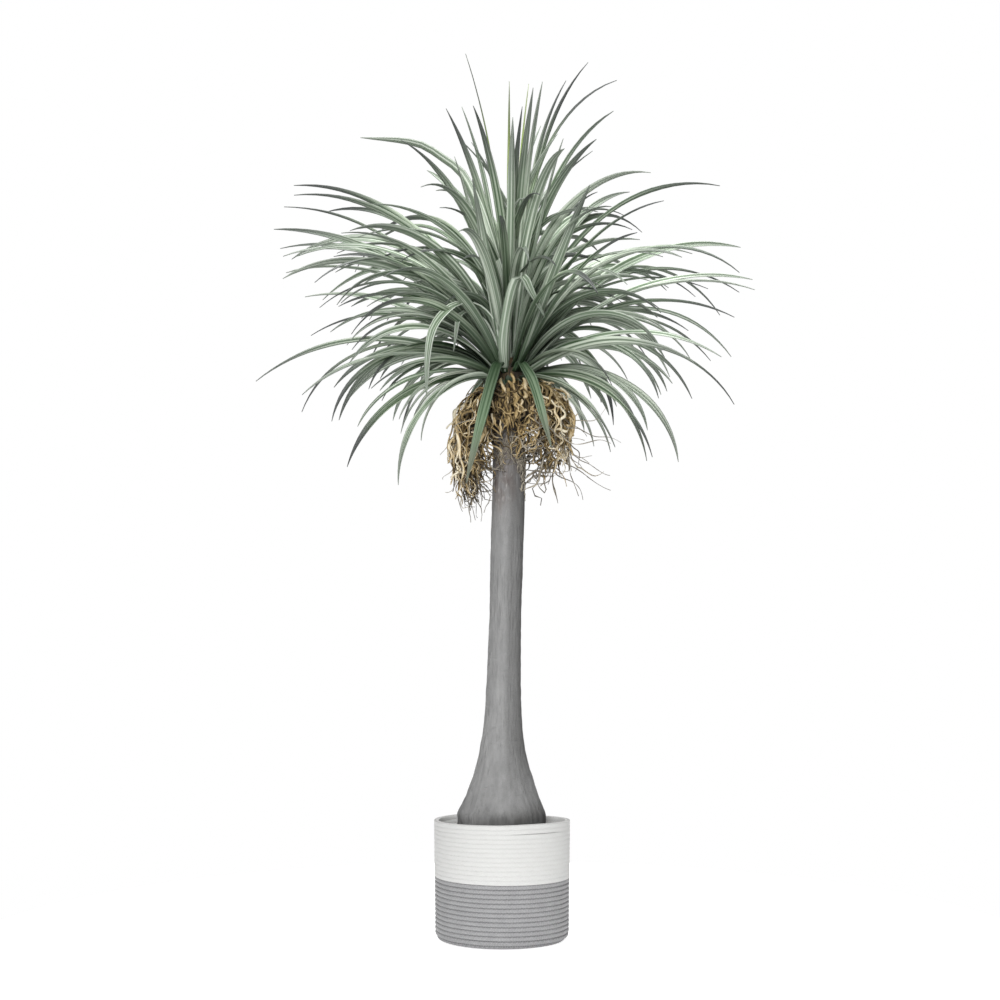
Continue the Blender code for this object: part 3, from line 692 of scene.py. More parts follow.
@dataclass
class RopeBasket:
    """Basket of one rope, coiled over the floor from its centre and then up the wall."""

    height: float = 0.202
    foot_radius: float = 0.1115
    rim_radius: float = 0.1137
    corner: float = 0.014
    rope: float = 0.008
    pitch: float = 0.202 / 27
    squash: float = 0.00398
    colour_line: float = 0.1047
    white_turns: int = 13
    first_turn: float = 0.6
    steps: int = 72
    sides: int = 10
    seam: float = math.radians(95)
    # How far the rim sags behind and at the left
    sag_back: float = 0.0058
    sag_left: float = 0.0034
    # How far the last coils gape, where, over what spread and in how many turns
    gape: float = 0.0009
    gape_at: float = math.radians(-58)
    gape_spread: float = math.radians(34)
    gape_turns: float = 2.25
    # Turns over which the rope's end is tucked in, and how far it drops
    tuck_turns: float = 0.09
    tuck_drop: float = 0.004
    # Radius of the ring that a length of rope is spun on
    ring: float = 5.0

    @property
    def floor_run(self) -> float:
        """Length of the flat floor, from its centre to the corner."""
        return self.foot_radius - self.corner

    @property
    def bend_run(self) -> float:
        """Length of the corner along the middle of the rope."""
        return (self.corner - self.rope / 2) * math.pi / 2

    @property
    def change(self) -> float:
        """Turns from the centre of the floor to where white rope follows grey."""
        front = (math.tau * 0.75 - self.seam) / math.tau
        height = self.colour_line - self.pitch / 2 + front * self.pitch
        return (self.floor_run + self.bend_run + height - self.corner) / self.pitch

    def course(self, turn: float) -> tuple[float, float, float]:
        """The middle of the rope.

        Args:
            turn: Turns from the centre of the floor.

        Returns:
            Its radius, its height and the slope of the coils, 0 on the floor and a quarter turn on the wall.
        """
        run = turn * self.pitch
        bend = self.corner - self.rope / 2
        if run < self.floor_run:
            return run, self.rope / 2, 0.0
        if run < self.floor_run + self.bend_run:
            lay = (run - self.floor_run) / bend
            return self.floor_run + bend * math.sin(lay), self.corner - bend * math.cos(lay), lay
        height = self.corner + run - self.floor_run - self.bend_run
        grown = (self.rim_radius - self.foot_radius) * height / self.height
        return self.foot_radius + grown - self.rope / 2, height, math.pi / 2

    def build_rope(self, shade: RopeShade, node: str, first: float, last: float) -> bpy.types.Object:
        """Spins one colour of rope and lays it on its course.

        Args:
            shade: The rope's colour.
            node: The CAD node it stands for.
            first: Turn where it starts.
            last: Turn where it ends.

        Returns:
            The piece.
        """
        length = self.length_of_rope()
        bm = bmesh.new()
        layers = [bm.verts.layers.float.new(word) for word in ("along", "up", "turns", "inside")]
        lengths = math.ceil(last - first)
        for part in range(lengths):
            laid = len(bm.verts)
            bm.from_mesh(length)
            bm.verts.ensure_lookup_table()
            for vert in bm.verts[laid:]:
                share = abs(math.atan2(vert.co.y, vert.co.x)) / math.pi
                turn = first + (last - first) * (part + share) / lengths
                out, up = math.hypot(vert.co.x, vert.co.y) - self.ring, vert.co.z
                out = math.copysign(abs(out) ** shade.fullness, out)
                vert.co = self.rope_spot(turn, out, up, last)
                for layer, value in zip(layers, (self.run_of(turn), up, turn, float(out < 0))):
                    vert[layer] = value
        bpy.data.meshes.remove(length)
        bmesh.ops.remove_doubles(bm, verts=bm.verts, dist=1e-6)
        close(bm)
        # The white rope gets painted light on its inner faces
        finish = RopeFinish(shade, painted_inside_light=1.0 if shade is RopeShade.WHITE else 0.0).material()
        return new_piece(node + "_rope", bm, [finish], node)

    def length_of_rope(self) -> bpy.types.Mesh:
        """A ring spun half round into a plain tube, from which each turn of the rope is made."""
        bm = bmesh.new()
        turned = Matrix.Rotation(math.pi / self.sides, 4, "Z")
        across = Matrix.Translation((self.ring, 0, 0)) @ Matrix.Rotation(math.pi / 2, 4, "X") @ turned
        bmesh.ops.create_circle(bm, segments=self.sides, radius=1, matrix=across)
        spin(bm, self.steps, math.pi)
        mesh = bpy.data.meshes.new("length_of_rope")
        bm.to_mesh(mesh)
        bm.free()
        return mesh

    def run_of(self, turn: float) -> float:
        """Length of rope laid up to a turn, near enough for the pattern of its plies."""
        floor_turns = self.floor_run / self.pitch
        if turn < floor_turns:
            return math.pi * self.pitch * turn**2
        return math.pi * self.floor_run * floor_turns + math.tau * self.foot_radius * (turn - floor_turns)

    def rope_spot(self, turn: float, out: float, up: float, last: float) -> Vector:
        """Where a point of the rope lies.

        Args:
            turn: Turns from the centre of the floor.
            out: The point's place across the rope's thickness, -1 to 1.
            up: Its place from coil to coil, -1 to 1.
            last: Turn at which the rope ends and is tucked in.

        Returns:
            The place.
        """
        radius, height, lay = self.course(turn)
        angle = self.seam + (self.change - turn) * math.tau
        at_rim = last > self.change + 1
        tuck = smooth_share(last - self.tuck_turns, last, turn) if at_rim else 0.0
        thick, tall = self.rope / 2 * (1 - 0.5 * tuck), self.squash * (1 - 0.5 * tuck)
        radius += thick * out * math.sin(lay) + tall * up * math.cos(lay)
        height += tall * up * math.sin(lay) - thick * out * math.cos(lay) - self.tuck_drop * tuck
        sag = self.sag_back * (1 + math.sin(angle)) / 2 + self.sag_left * (1 - math.cos(angle)) / 2
        height -= sag * (height / self.height) ** 3
        if at_rim and turn > last - self.gape_turns:
            aside = abs((angle - self.gape_at + math.pi) % math.tau - math.pi) / self.gape_spread
            height += self.gape * smooth_share(1.0, 0.2, aside)
        return Vector((radius * math.cos(angle), radius * math.sin(angle), max(0.0, height)))

    def build(self) -> None:
        """Builds both ropes."""
        self.build_rope(RopeShade.GREY, "basket_grey", self.first_turn, self.change)
        self.build_rope(RopeShade.WHITE, "basket_white", self.change, self.change + self.white_turns)


@dataclass
class GrowPot:
    """The grow pot, whose CAD solid shows, and the potting mix in it."""

    foot: float = 0.0108
    foot_radius: float = 0.085
    mouth_radius: float = 0.094
    mouth: float = 0.168
    soil_top: float = 0.156
    sides: int = 72
    rings: int = 12
    # Gap between the mix and the wall, height of the mix's upright edge, and roughness of its top
    slack: float = 0.0004
    shoulder: float = 0.003
    rough: float = 0.0022
    crumbs: int = 620
    # Shares of the radius between which crumbs lie, their least and most size, and the share of white ones
    crumb_ring: tuple = (0.62, 0.965)
    crumb_size: tuple = (0.0011, 0.0034)
    white_share: float = 0.06
    seed: int = 3

    def radius(self, height: float) -> float:
        """Inner radius of the pot at a height."""
        share = (height - self.foot) / (self.mouth - self.foot)
        return self.foot_radius + (self.mouth_radius - self.foot_radius) * share - self.slack

    def surface(self, x: float, y: float) -> float:
        """Height of the mix at a place."""
        return self.soil_top + self.rough * noise.noise(Vector((x * 60, y * 60, 1.7)))

    def build_mix(self) -> bpy.types.Object:
        """Makes the mix: a turned plug with a rough top, under loose crumbs."""
        bm = bmesh.new()
        layer = bm.verts.layers.float.new("tone")
        rim = self.radius(self.soil_top)
        outline = [(0.0, self.foot), (self.radius(self.foot), self.foot)]
        outline.append((rim, self.soil_top - self.shoulder))
        outline += [(rim * (1 - step / self.rings), self.soil_top) for step in range(self.rings + 1)]
        spin_outline(bm, outline, self.sides)
        bmesh.ops.remove_doubles(bm, verts=bm.verts, dist=1e-6)
        for vert in bm.verts:
            vert[layer] = 0.25
            if vert.co.z > self.soil_top - 0.001:
                vert.co.z = self.surface(vert.co.x, vert.co.y)
        rng = random.Random(self.seed)
        for _ in range(self.crumbs):
            self.add_crumb(bm, layer, rng)
        bmesh.ops.recalc_face_normals(bm, faces=bm.faces)
        return new_piece("soil_mix", bm, [MixFinish().material()], "soil")

    def add_crumb(self, bm: bmesh.types.BMesh, layer: object, rng: random.Random) -> None:
        """Drops one crumb on the mix.

        Args:
            bm: The mix.
            layer: Where a crumb's tone is kept.
            rng: The draw of its place, size and tone.
        """
        turn = rng.uniform(0, math.tau)
        near, far = self.crumb_ring
        out = math.sqrt(rng.uniform(near**2, far**2)) * self.radius(self.soil_top)
        x, y = out * math.cos(turn), out * math.sin(turn)
        size = rng.uniform(*self.crumb_size)
        tone = 1.0 if rng.random() < self.white_share else rng.uniform(0.1, 0.9)
        turned = Matrix.Rotation(rng.uniform(0, math.pi), 4, "Z")
        turned @= Matrix.Rotation(rng.uniform(-0.5, 0.5), 4, "X")
        shape = Matrix.Diagonal((1, rng.uniform(0.5, 0.9), rng.uniform(0.35, 0.7), 1))
        spot = Matrix.Translation((x, y, self.surface(x, y) + size * 0.2)) @ turned @ shape
        for vert in bmesh.ops.create_icosphere(bm, subdivisions=1, radius=size, matrix=spot)["verts"]:
            vert[layer] = tone

    def build(self) -> None:
        """Dresses the pot and builds the mix."""
        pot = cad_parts["grow_pot"]
        pot.data.materials.clear()
        pot.data.materials.append(PlasticFinish().material())
        LOG.info("grow_pot: CAD solid dressed")
        self.build_mix()


@dataclass
class Trunk:
    """Slim trunk with a swollen, fluted foot, which leans a little to the right."""

    # Its radius by height
    outline: tuple = (
        (0.120, 0.034), (0.128, 0.050), (0.142, 0.061), (0.156, 0.0672), (0.178, 0.0722), (0.206, 0.0739),
        (0.2165, 0.0702), (0.2365, 0.0613), (0.2565, 0.0540), (0.2765, 0.0472), (0.2965, 0.0414),
        (0.314, 0.0376), (0.338, 0.0340), (0.370, 0.0308), (0.430, 0.0285), (0.500, 0.0272),
        (0.550, 0.0264), (0.630, 0.0273), (0.765, 0.0275), (0.925, 0.0270),
    )
    sides: int = 112
    rows: int = 260
    # How far it leans to the right, and the heights between which it does
    lean_reach: float = 0.0125
    lean_from: float = 0.22
    lean_to: float = 0.88
    # Share of the flutes and bumps, and the heights between which they come and go
    swelling: float = 0.022
    swells_from: tuple = (0.164, 0.211)
    swells_to: tuple = (0.685, 0.74)
    # Depths of folds on the foot, of cracks above it and on it, and of the grain, and where the foot ends
    folds: float = 0.0046
    cracks: tuple = (0.0012, 0.0026)
    grains: float = 0.0009
    foot_ends: tuple = (0.20, 0.34)

    @property
    def top(self) -> float:
        """Height of the trunk's end."""
        return self.outline[-1][0]

    def lean(self, height: float) -> float:
        """How far the trunk's centre has moved to the right at a height."""
        return self.lean_reach * smooth_share(self.lean_from, self.lean_to, height)

    def swell(self, turn: float, height: float) -> float:
        """Share by which the radius swells or sinks: flutes on the foot, slow bumps above."""
        shown = smooth_share(*self.swells_from, height) * (1 - smooth_share(*self.swells_to, height))
        flutes = math.sin(5 * turn + 9 * height) + 0.6 * math.sin(3 * turn - 14 * height + 1.3)
        return self.swelling * shown * flutes

    def relief(self, turn: float, height: float) -> float:
        """Wrinkles and cracks, in metres: deep at the foot, fine above."""
        x, y = math.cos(turn), math.sin(turn)
        fold = abs(noise.noise(Vector((x * 4.5, y * 4.5, height * 11))))
        crack = abs(noise.noise(Vector((x * 11, y * 11, height * 26 + 5))))
        grain = noise.noise(Vector((x * 16, y * 16, height * 45 + 9)))
        foot = 1 - smooth_share(*self.foot_ends, height)
        stem_cracks, foot_cracks = self.cracks
        cracked = (crack - 0.3) * (stem_cracks + foot_cracks * foot)
        return (fold - 0.36) * self.folds * foot + cracked + grain * self.grains

    def build(self) -> bpy.types.Object:
        """Makes the trunk of a straight line, spun to a tube and then given its outline and relief."""
        bm = bmesh.new()
        low = self.outline[0][0]
        ends = [bm.verts.new((1, 0, low)), bm.verts.new((1, 0, self.top))]
        line = bm.edges.new(ends)
        bmesh.ops.subdivide_edges(bm, edges=[line], cuts=self.rows - 1)
        spin(bm, self.sides)
        for vert in bm.verts:
            turn, height = math.atan2(vert.co.y, vert.co.x), vert.co.z
            radius = round_table(self.outline, height) * (1 + self.swell(turn, height))
            radius += self.relief(turn, height)
            vert.co = Vector((radius * math.cos(turn) + self.lean(height), radius * math.sin(turn), height))
        close(bm)
        return new_piece("trunk_bark", bm, [BarkFinish().material()], "trunk")


@dataclass(frozen=True)
class StrandRule:
    """How one kind of strand is drawn. A pair is the least and the most."""

    name: str
    count: int
    # Where it starts and how long it is, as shares of the skirt's drop, and how wide, in metres
    start: tuple
    length: tuple
    width: tuple
    # Radians by which its heading varies, by which it bends over its length, and by which it wiggles
    way: tuple
    # How far it stands out of the skirt by its level, and how much further at its end
    lift: tuple
    flare: tuple
    # The two shapes of the draw of its tone: the higher the first, the paler
    tone: tuple = (0.9, 0.9)
    # Faces across and along
    faces: tuple = (1, 20)
    # Middle and width of its sector, in degrees from the right
    sector: tuple = (0, 360)


@dataclass
class Skirt:
    """Dried fibre hung round the top of the trunk in two lobes: a mat, darkened with painted shade, under
    tangled strips and wisps.
    """

    trunk: Trunk
    top: float = 0.942
    right_shoulder: float = 0.034
    left_slim: float = 0.07
    # How far out the fibre is by its fall from the top: at the sides, then in front and behind
    girth: tuple = (
        (0.0, 0.034), (0.012, 0.044), (0.028, 0.060), (0.048, 0.080), (0.072, 0.095), (0.102, 0.101),
        (0.132, 0.100), (0.172, 0.096), (0.222, 0.092), (0.322, 0.088),
    )
    hug: tuple = (
        (0.0, 0.034), (0.020, 0.046), (0.045, 0.055), (0.070, 0.052), (0.095, 0.040), (0.120, 0.033),
        (0.320, 0.031),
    )
    # How far the dense part hangs, by degrees from the right
    hem: tuple = (
        (0, 0.118), (28, 0.113), (55, 0.094), (90, 0.076), (115, 0.084), (132, 0.114), (150, 0.156),
        (180, 0.166),
    )
    # Radius of the bark, which no fibre sinks into, and the step over which the skirt's slope is read
    bark: float = 0.029
    near: float = 0.004
    # Lift of the mat's outside and inside, its roughness and sides, and the ring and scale it is spun at
    mat_lifts: tuple = (-0.011, -0.034)
    mat_rough: float = 0.004
    mat_sides: int = 96
    mat_ring: float = 2.0
    mat_scale: float = 100.0
    # What every strand draws from: rate of its wiggle, height and rate of its toss, most roll and twist
    wiggle_rate: tuple = (5, 16)
    toss: tuple = (0.001, 0.005)
    toss_rate: tuple = (4, 11)
    roll: float = 0.7
    twist: float = 2.4
    # How far strands climb over the top, and the fall of the point that they face away from
    climb: float = 0.008
    core: float = 0.07
    thickness: float = 0.0008
    # Share of its tone that a strand loses in front and behind, as painted shade
    painted_shade: float = 0.42
    # The kinds of strip, in the order of their draws
    strips: tuple = (
        StrandRule(
            "hanging", 215, (0.0, 0.66), (0.36, 0.70), (0.0032, 0.0100), (0.20, 0.7, 0.32),
            lift=(-0.012, 0.006), flare=(-0.004, 0.006), tone=(1.0, 0.9), faces=(2, 14),
        ),
        StrandRule(
            "stray", 100, (0.0, 0.85), (0.2, 0.5), (0.0024, 0.0080), (0.6, 1.4, 0.5),
            lift=(-0.009, 0.008), flare=(-0.004, 0.008), tone=(1.0, 0.8), faces=(2, 14), sector=(180, 280),
        ),
        StrandRule(
            "right_curl", 90, (0.1, 1.0), (0.2, 0.5), (0.0022, 0.0056), (0.9, 2.6, 0.7),
            lift=(-0.006, 0.009), flare=(-0.004, 0.012), tone=(1.5, 0.7), sector=(-20, 150),
        ),
        StrandRule(
            "left_curl", 50, (0.1, 0.9), (0.2, 0.5), (0.0014, 0.0036), (1.0, 3.0, 1.0),
            lift=(-0.006, 0.009), flare=(-0.004, 0.010), tone=(1.0, 0.7), sector=(180, 150),
        ),
        # Thin ones below the hem
        StrandRule(
            "right_fringe", 120, (0.72, 1.22), (0.25, 0.60), (0.0014, 0.0044), (0.7, 1.9, 0.8),
            lift=(-0.030, 0.002), flare=(-0.012, 0.016), tone=(1.0, 0.6), sector=(-5, 120),
        ),
        StrandRule(
            "left_fringe", 110, (0.74, 1.05), (0.2, 0.45), (0.0014, 0.0044), (0.4, 1.3, 0.6),
            lift=(-0.026, 0.002), flare=(-0.010, 0.008), tone=(1.0, 0.6), sector=(184, 96),
        ),
        StrandRule(
            "left_tails", 26, (0.85, 1.0), (0.35, 0.66), (0.0010, 0.0022), (0.4, 1.2, 0.6),
            lift=(-0.024, 0.002), flare=(-0.030, 0.006), tone=(0.5, 0.9), faces=(1, 24), sector=(190, 80),
        ),
        # Those that cling to the trunk between the lobes
        *(
            StrandRule(
                name, 38, (0.40, 1.05), (0.30, 0.62), (0.0022, 0.0074), (0.26, 0.7, 0.28),
                lift=(-0.001, 0.004), flare=(-0.001, 0.005), sector=(middle, 84),
            )
            for name, middle in (("front", -90), ("back", 90))
        ),
    )
    # Thin ones that have come loose: wisps, kinked twigs, then threads matted on the trunk, which the
    # radius of the bark holds up against their own lift
    whiskers: tuple = (
        StrandRule(
            "right_wisp", 24, (0.5, 1.1), (0.4, 0.95), (0.0014, 0.0026), (0.8, 2.2, 0.7),
            lift=(-0.004, 0.004), flare=(0.0, 0.095), tone=(1.0, 1.0), faces=(1, 24), sector=(-10, 100),
        ),
        StrandRule(
            "left_wisp", 24, (0.4, 1.0), (0.30, 0.62), (0.0012, 0.0024), (0.6, 1.8, 0.7),
            lift=(-0.004, 0.004), flare=(-0.020, 0.030), tone=(1.0, 1.0), faces=(1, 24), sector=(185, 110),
        ),
        StrandRule(
            "right_twigs", 38, (0.95, 1.3), (0.40, 0.92), (0.0020, 0.0048), (1.0, 2.1, 0.9),
            lift=(-0.045, 0.0), flare=(-0.040, 0.032), tone=(0.8, 1.6), faces=(1, 8), sector=(-14, 110),
        ),
        StrandRule(
            "left_twigs", 28, (0.90, 1.15), (0.25, 0.62), (0.0015, 0.0034), (0.7, 1.5, 0.7),
            lift=(-0.030, 0.0), flare=(-0.030, 0.008), tone=(0.8, 1.6), faces=(1, 8), sector=(190, 90),
        ),
        StrandRule(
            "matted", 96, (1.0, 1.7), (0.2, 0.45), (0.0012, 0.0030), (0.7, 2.0, 0.8),
            lift=(-0.09, -0.088), flare=(0.0, 0.0016), tone=(1.6, 0.8), faces=(1, 16), sector=(-74, 110),
        ),
    )
    seed: int = 21

    def drop(self, turn: float) -> float:
        """How far the dense part hangs at a turn: least in front and behind, most at the left."""
        return between(self.hem, abs(math.degrees((turn + math.pi) % math.tau - math.pi)))

    def facing(self, turn: float) -> float:
        """How far a turn points to the front or the back, 0 to 1."""
        return abs(math.sin(turn)) ** 3

    def radius(self, turn: float, fall: float) -> float:
        """How far out the fibre is.

        Args:
            turn: Round the trunk, from the right and counterclockwise from above.
            fall: Height below the top.

        Returns:
            The radius, which grows sooner at the right and hugs the trunk in front and behind.
        """
        right = (1 + math.cos(turn)) / 2
        side = round_table(self.girth, fall + self.right_shoulder * right * smooth_share(0.0, 0.04, fall))
        side *= 1 - self.left_slim * (1 - right)
        return side + (round_table(self.hug, fall) - side) * self.facing(turn)

    def spot(self, turn: float, fall: float, lift: float) -> Vector:
        """A place on the skirt.

        Args:
            turn: Round the trunk.
            fall: Height below the top.
            lift: How far it stands out.

        Returns:
            The place.
        """
        radius = self.radius(turn, fall)
        slope = (self.radius(turn, fall + self.near) - radius) / self.near
        outward = Vector((1.0, 0.0, slope)).normalized()
        radius = max(self.bark, radius + lift * outward.x)
        height = self.top - fall + lift * outward.z
        return Vector((self.trunk.lean(height) + radius * math.cos(turn), radius * math.sin(turn), height))

    def build_mat(self) -> bpy.types.Object:
        """Makes the mat under the strips: a turned shell, hung by the skirt's own rule."""
        bm = bmesh.new()
        outer, inner = self.mat_lifts
        depths = [(step / 10, outer) for step in range(9)] + [(step / 10, inner) for step in range(8, 1, -1)]
        outline = [(self.mat_ring + depth, lift * self.mat_scale) for depth, lift in depths]
        spin_outline(bm, outline, self.mat_sides, closed=True)
        for vert in bm.verts:
            turn, depth = math.atan2(vert.co.y, vert.co.x), math.hypot(vert.co.x, vert.co.y) - self.mat_ring
            rough = self.mat_rough * noise.noise(Vector((turn * 9, depth * 5, vert.co.z)))
            vert.co = self.spot(turn, depth * self.drop(turn), vert.co.z / self.mat_scale + rough)
        bmesh.ops.recalc_face_normals(bm, faces=bm.faces)
        return new_piece("skirt_mat", bm, [FibreFinish(FibreKind.MAT).material()], "skirt")

    def walk(self, turn: float, level: float, rule: StrandRule, rng: random.Random) -> list[Vector]:
        """Draws the middle line of a strand, step by step over the skirt.

        Args:
            turn: Where it starts round the trunk.
            level: How far out it lies among its kind, 0 to 1.
            rule: How its kind is drawn.
            rng: The draw.

        Returns:
            Its points, one more than its ribbon needs.
        """
        steps = rule.faces[1]
        fall = rng.uniform(*rule.start) * self.drop(turn)
        stride = rng.uniform(*rule.length) * self.drop(turn) / steps
        spread, most_bend, wiggle = rule.way
        heading, bend = rng.gauss(0, spread), rng.uniform(-most_bend, most_bend)
        rate, phase = rng.uniform(*self.wiggle_rate), rng.uniform(0, math.tau)
        lift, flare = between(((0, rule.lift[0]), (1, rule.lift[1])), level), rng.uniform(*rule.flare)
        toss, toss_rate = rng.uniform(*self.toss), rng.uniform(*self.toss_rate)
        points = []
        for step in range(steps + 2):
            along = step / steps
            raised = lift + flare * along**1.6 + toss * math.sin(toss_rate * along + phase)
            points.append(self.spot(turn, fall, raised))
            way = heading + bend * along + wiggle * math.sin(rate * along + phase)
            fall = max(-self.climb, fall + math.cos(way) * stride)
            turn += math.sin(way) * stride / self.radius(turn, fall)
        return points

    def strand(
        self, turn: float, level: float, rule: StrandRule, rng: random.Random
    ) -> Callable[[float, float], Vector]:
        """Draws one strand.

        Args:
            turn: Where it starts round the trunk.
            level: How far out it lies among its kind, 0 to 1.
            rule: How its kind is drawn.
            rng: The draw.

        Returns:
            The place of a point by its shares across and along.
        """
        points = self.walk(turn, level, rule, rng)
        width = rng.uniform(*rule.width)
        roll, twist = rng.uniform(-self.roll, self.roll), rng.uniform(-self.twist, self.twist)

        def spot(across: float, along: float) -> Vector:
            """A point of the strand."""
            index = round(along * rule.faces[1])
            middle = points[index]
            tangent = (points[index + 1] - middle).normalized()
            axis = Vector((self.trunk.lean(middle.z), 0, self.top - self.core))
            side = tangent.cross(middle - axis).normalized()
            side = Matrix.Rotation(roll + twist * along, 3, tangent) @ side
            wide = width * (0.35 + 0.65 * math.sin(math.pi * min(1.0, along * 1.05 + 0.12)) ** 0.6)
            return middle + side * (across * wide / 2) + tangent.cross(side) * (wide * 0.22 * across * across)

        return spot

    def build_strands(self, rule: StrandRule, kind: FibreKind, rng: random.Random) -> None:
        """Makes one piece of strands, spread evenly over their sector.

        Args:
            rule: How its strands are drawn.
            kind: Its finish.
            rng: The draw.
        """
        bm = new_ribbons()
        middle, width = rule.sector
        for index in range(rule.count):
            turn = math.radians(middle + width * ((index + rng.random()) / rule.count - 0.5))
            level = rng.random()
            # Painted shade: a strand is darker the lower it lies among its kind, and in front and behind
            tone = rng.betavariate(*rule.tone) * (0.4 + 0.6 * level) * (1 - self.painted_shade * self.facing(turn))
            add_ribbon(bm, *rule.faces, tone, self.strand(turn, level, rule, rng))
        strands = new_piece(f"skirt_{rule.name}", bm, [FibreFinish(kind).material()], "skirt")
        thicken(strands, self.thickness)

    def build(self) -> None:
        """Builds the mat, and a piece of each kind of strand."""
        self.build_mat()
        rng = random.Random(self.seed)
        for kind, rules in ((FibreKind.STRIP, self.strips), (FibreKind.WHISKER, self.whiskers)):
            for rule in rules:
                self.build_strands(rule, kind, rng)


@dataclass
class Leaf:
    """One strap leaf, by its tip's place from the crown's centre, its end slope and how late it bends."""

    across: float
    up: float
    back: float
    end: float
    bend: float
    width: float = 0.0185
    place: float = 0.5
    roll: float = 0.0
    twist: float = 0.0
    tone: float = 0.5
    face: LeafFace = LeafFace.UPPER
    course: list = field(default_factory=list)

    steps = 50
    # Radius of the ring of lowest roots, their height over the trunk, and how much higher the highest is
    root_radius = 0.034
    root_height = 0.0093
    root_rise = 0.057
    # Shares of its breadth: at the root, in the fold and in the wave of its edges
    root_breadth = 0.70
    fold = 0.26
    wave = 0.05
    # Share of its breadth that it loses by the tip, how late it does, and how much later a pale one does
    lost = 0.97
    taper = 2.7
    pale_taper = 2.2

    @property
    def turn(self) -> float:
        """Round the trunk, from the right and counterclockwise from above."""
        return math.atan2(self.back, self.across)

    @property
    def reach(self) -> float:
        """How far out the tip is."""
        return math.hypot(self.across, self.back)

    def unit_arc(self, start: float) -> list[tuple[float, float]]:
        """Points (out, up) of a curve of length 1 from a start slope to the leaf's end slope."""
        step = 1 / self.steps
        points = [(0.0, 0.0)]
        end = math.radians(self.end)
        for index in range(self.steps):
            slope = start + (end - start) * ((index + 0.5) * step) ** self.bend
            out, up = points[-1]
            points.append((out + math.cos(slope) * step, up + math.sin(slope) * step))
        return points

    def arc_to(self, out: float, up: float) -> tuple[list[tuple[float, float]], float]:
        """Finds the arc that reaches a point.

        Args:
            out: How far out the point is from the root.
            up: How far up it is.

        Returns:
            The arc's points from (0, 0), and its start slope.
        """
        aim = math.atan2(up, out)
        low, high = aim - 0.2, aim + 2.4
        for _ in range(30):
            start = (low + high) / 2
            tip_out, tip_up = self.unit_arc(start)[-1]
            if math.atan2(tip_up, tip_out) < aim:
                low = start
            else:
                high = start
        points = self.unit_arc(start)
        scale = math.hypot(out, up) / math.hypot(*points[-1])
        return [(p_out * scale, p_up * scale) for p_out, p_up in points], start

    def set_course(self, trunk: Trunk, crown_height: float) -> None:
        """Places the root on the growing tip and works out the leaf's middle line.

        Args:
            trunk: The trunk that carries the crown.
            crown_height: Height of the crown's centre.
        """
        radius = self.root_radius * math.sqrt(1 - self.place)
        height = trunk.top + self.root_height + self.root_rise * self.place
        outward = Vector((math.cos(self.turn), math.sin(self.turn), 0))
        root = Vector((trunk.lean(trunk.top), 0, height)) + outward * radius
        arc = self.arc_to(self.reach - radius, crown_height + self.up - height)[0]
        self.course = [root + outward * out + Vector((0, 0, up)) for out, up in arc]

    def breadth(self, along: float) -> float:
        """Width of the leaf at a share of its length."""
        base = self.root_breadth + (1 - self.root_breadth) * smooth_share(0.0, 0.28, along)
        return self.width * base * (1 - self.lost * along ** (self.taper + self.pale_taper * self.tone))

    def spot(self, across: float, along: float) -> Vector:
        """The place of a point by its shares across and along."""
        index = min(int(along * self.steps), self.steps - 1)
        point, ahead = self.course[index], self.course[index + 1]
        tangent = (ahead - point).normalized()
        level = Vector((math.sin(self.turn), -math.cos(self.turn), 0))
        side = (level - tangent * level.dot(tangent)).normalized()
        side = Matrix.Rotation(self.roll + self.twist * along, 3, tangent) @ side
        normal = side.cross(tangent)
        breadth = self.breadth(along)
        folded = breadth * self.fold * abs(across) ** 1.3
        waved = breadth * self.wave * across * math.sin(along * 17 + self.tone * 40)
        middle = point.lerp(ahead, along * self.steps - index)
        return middle + side * (across * breadth / 2) + normal * (folded + waved)


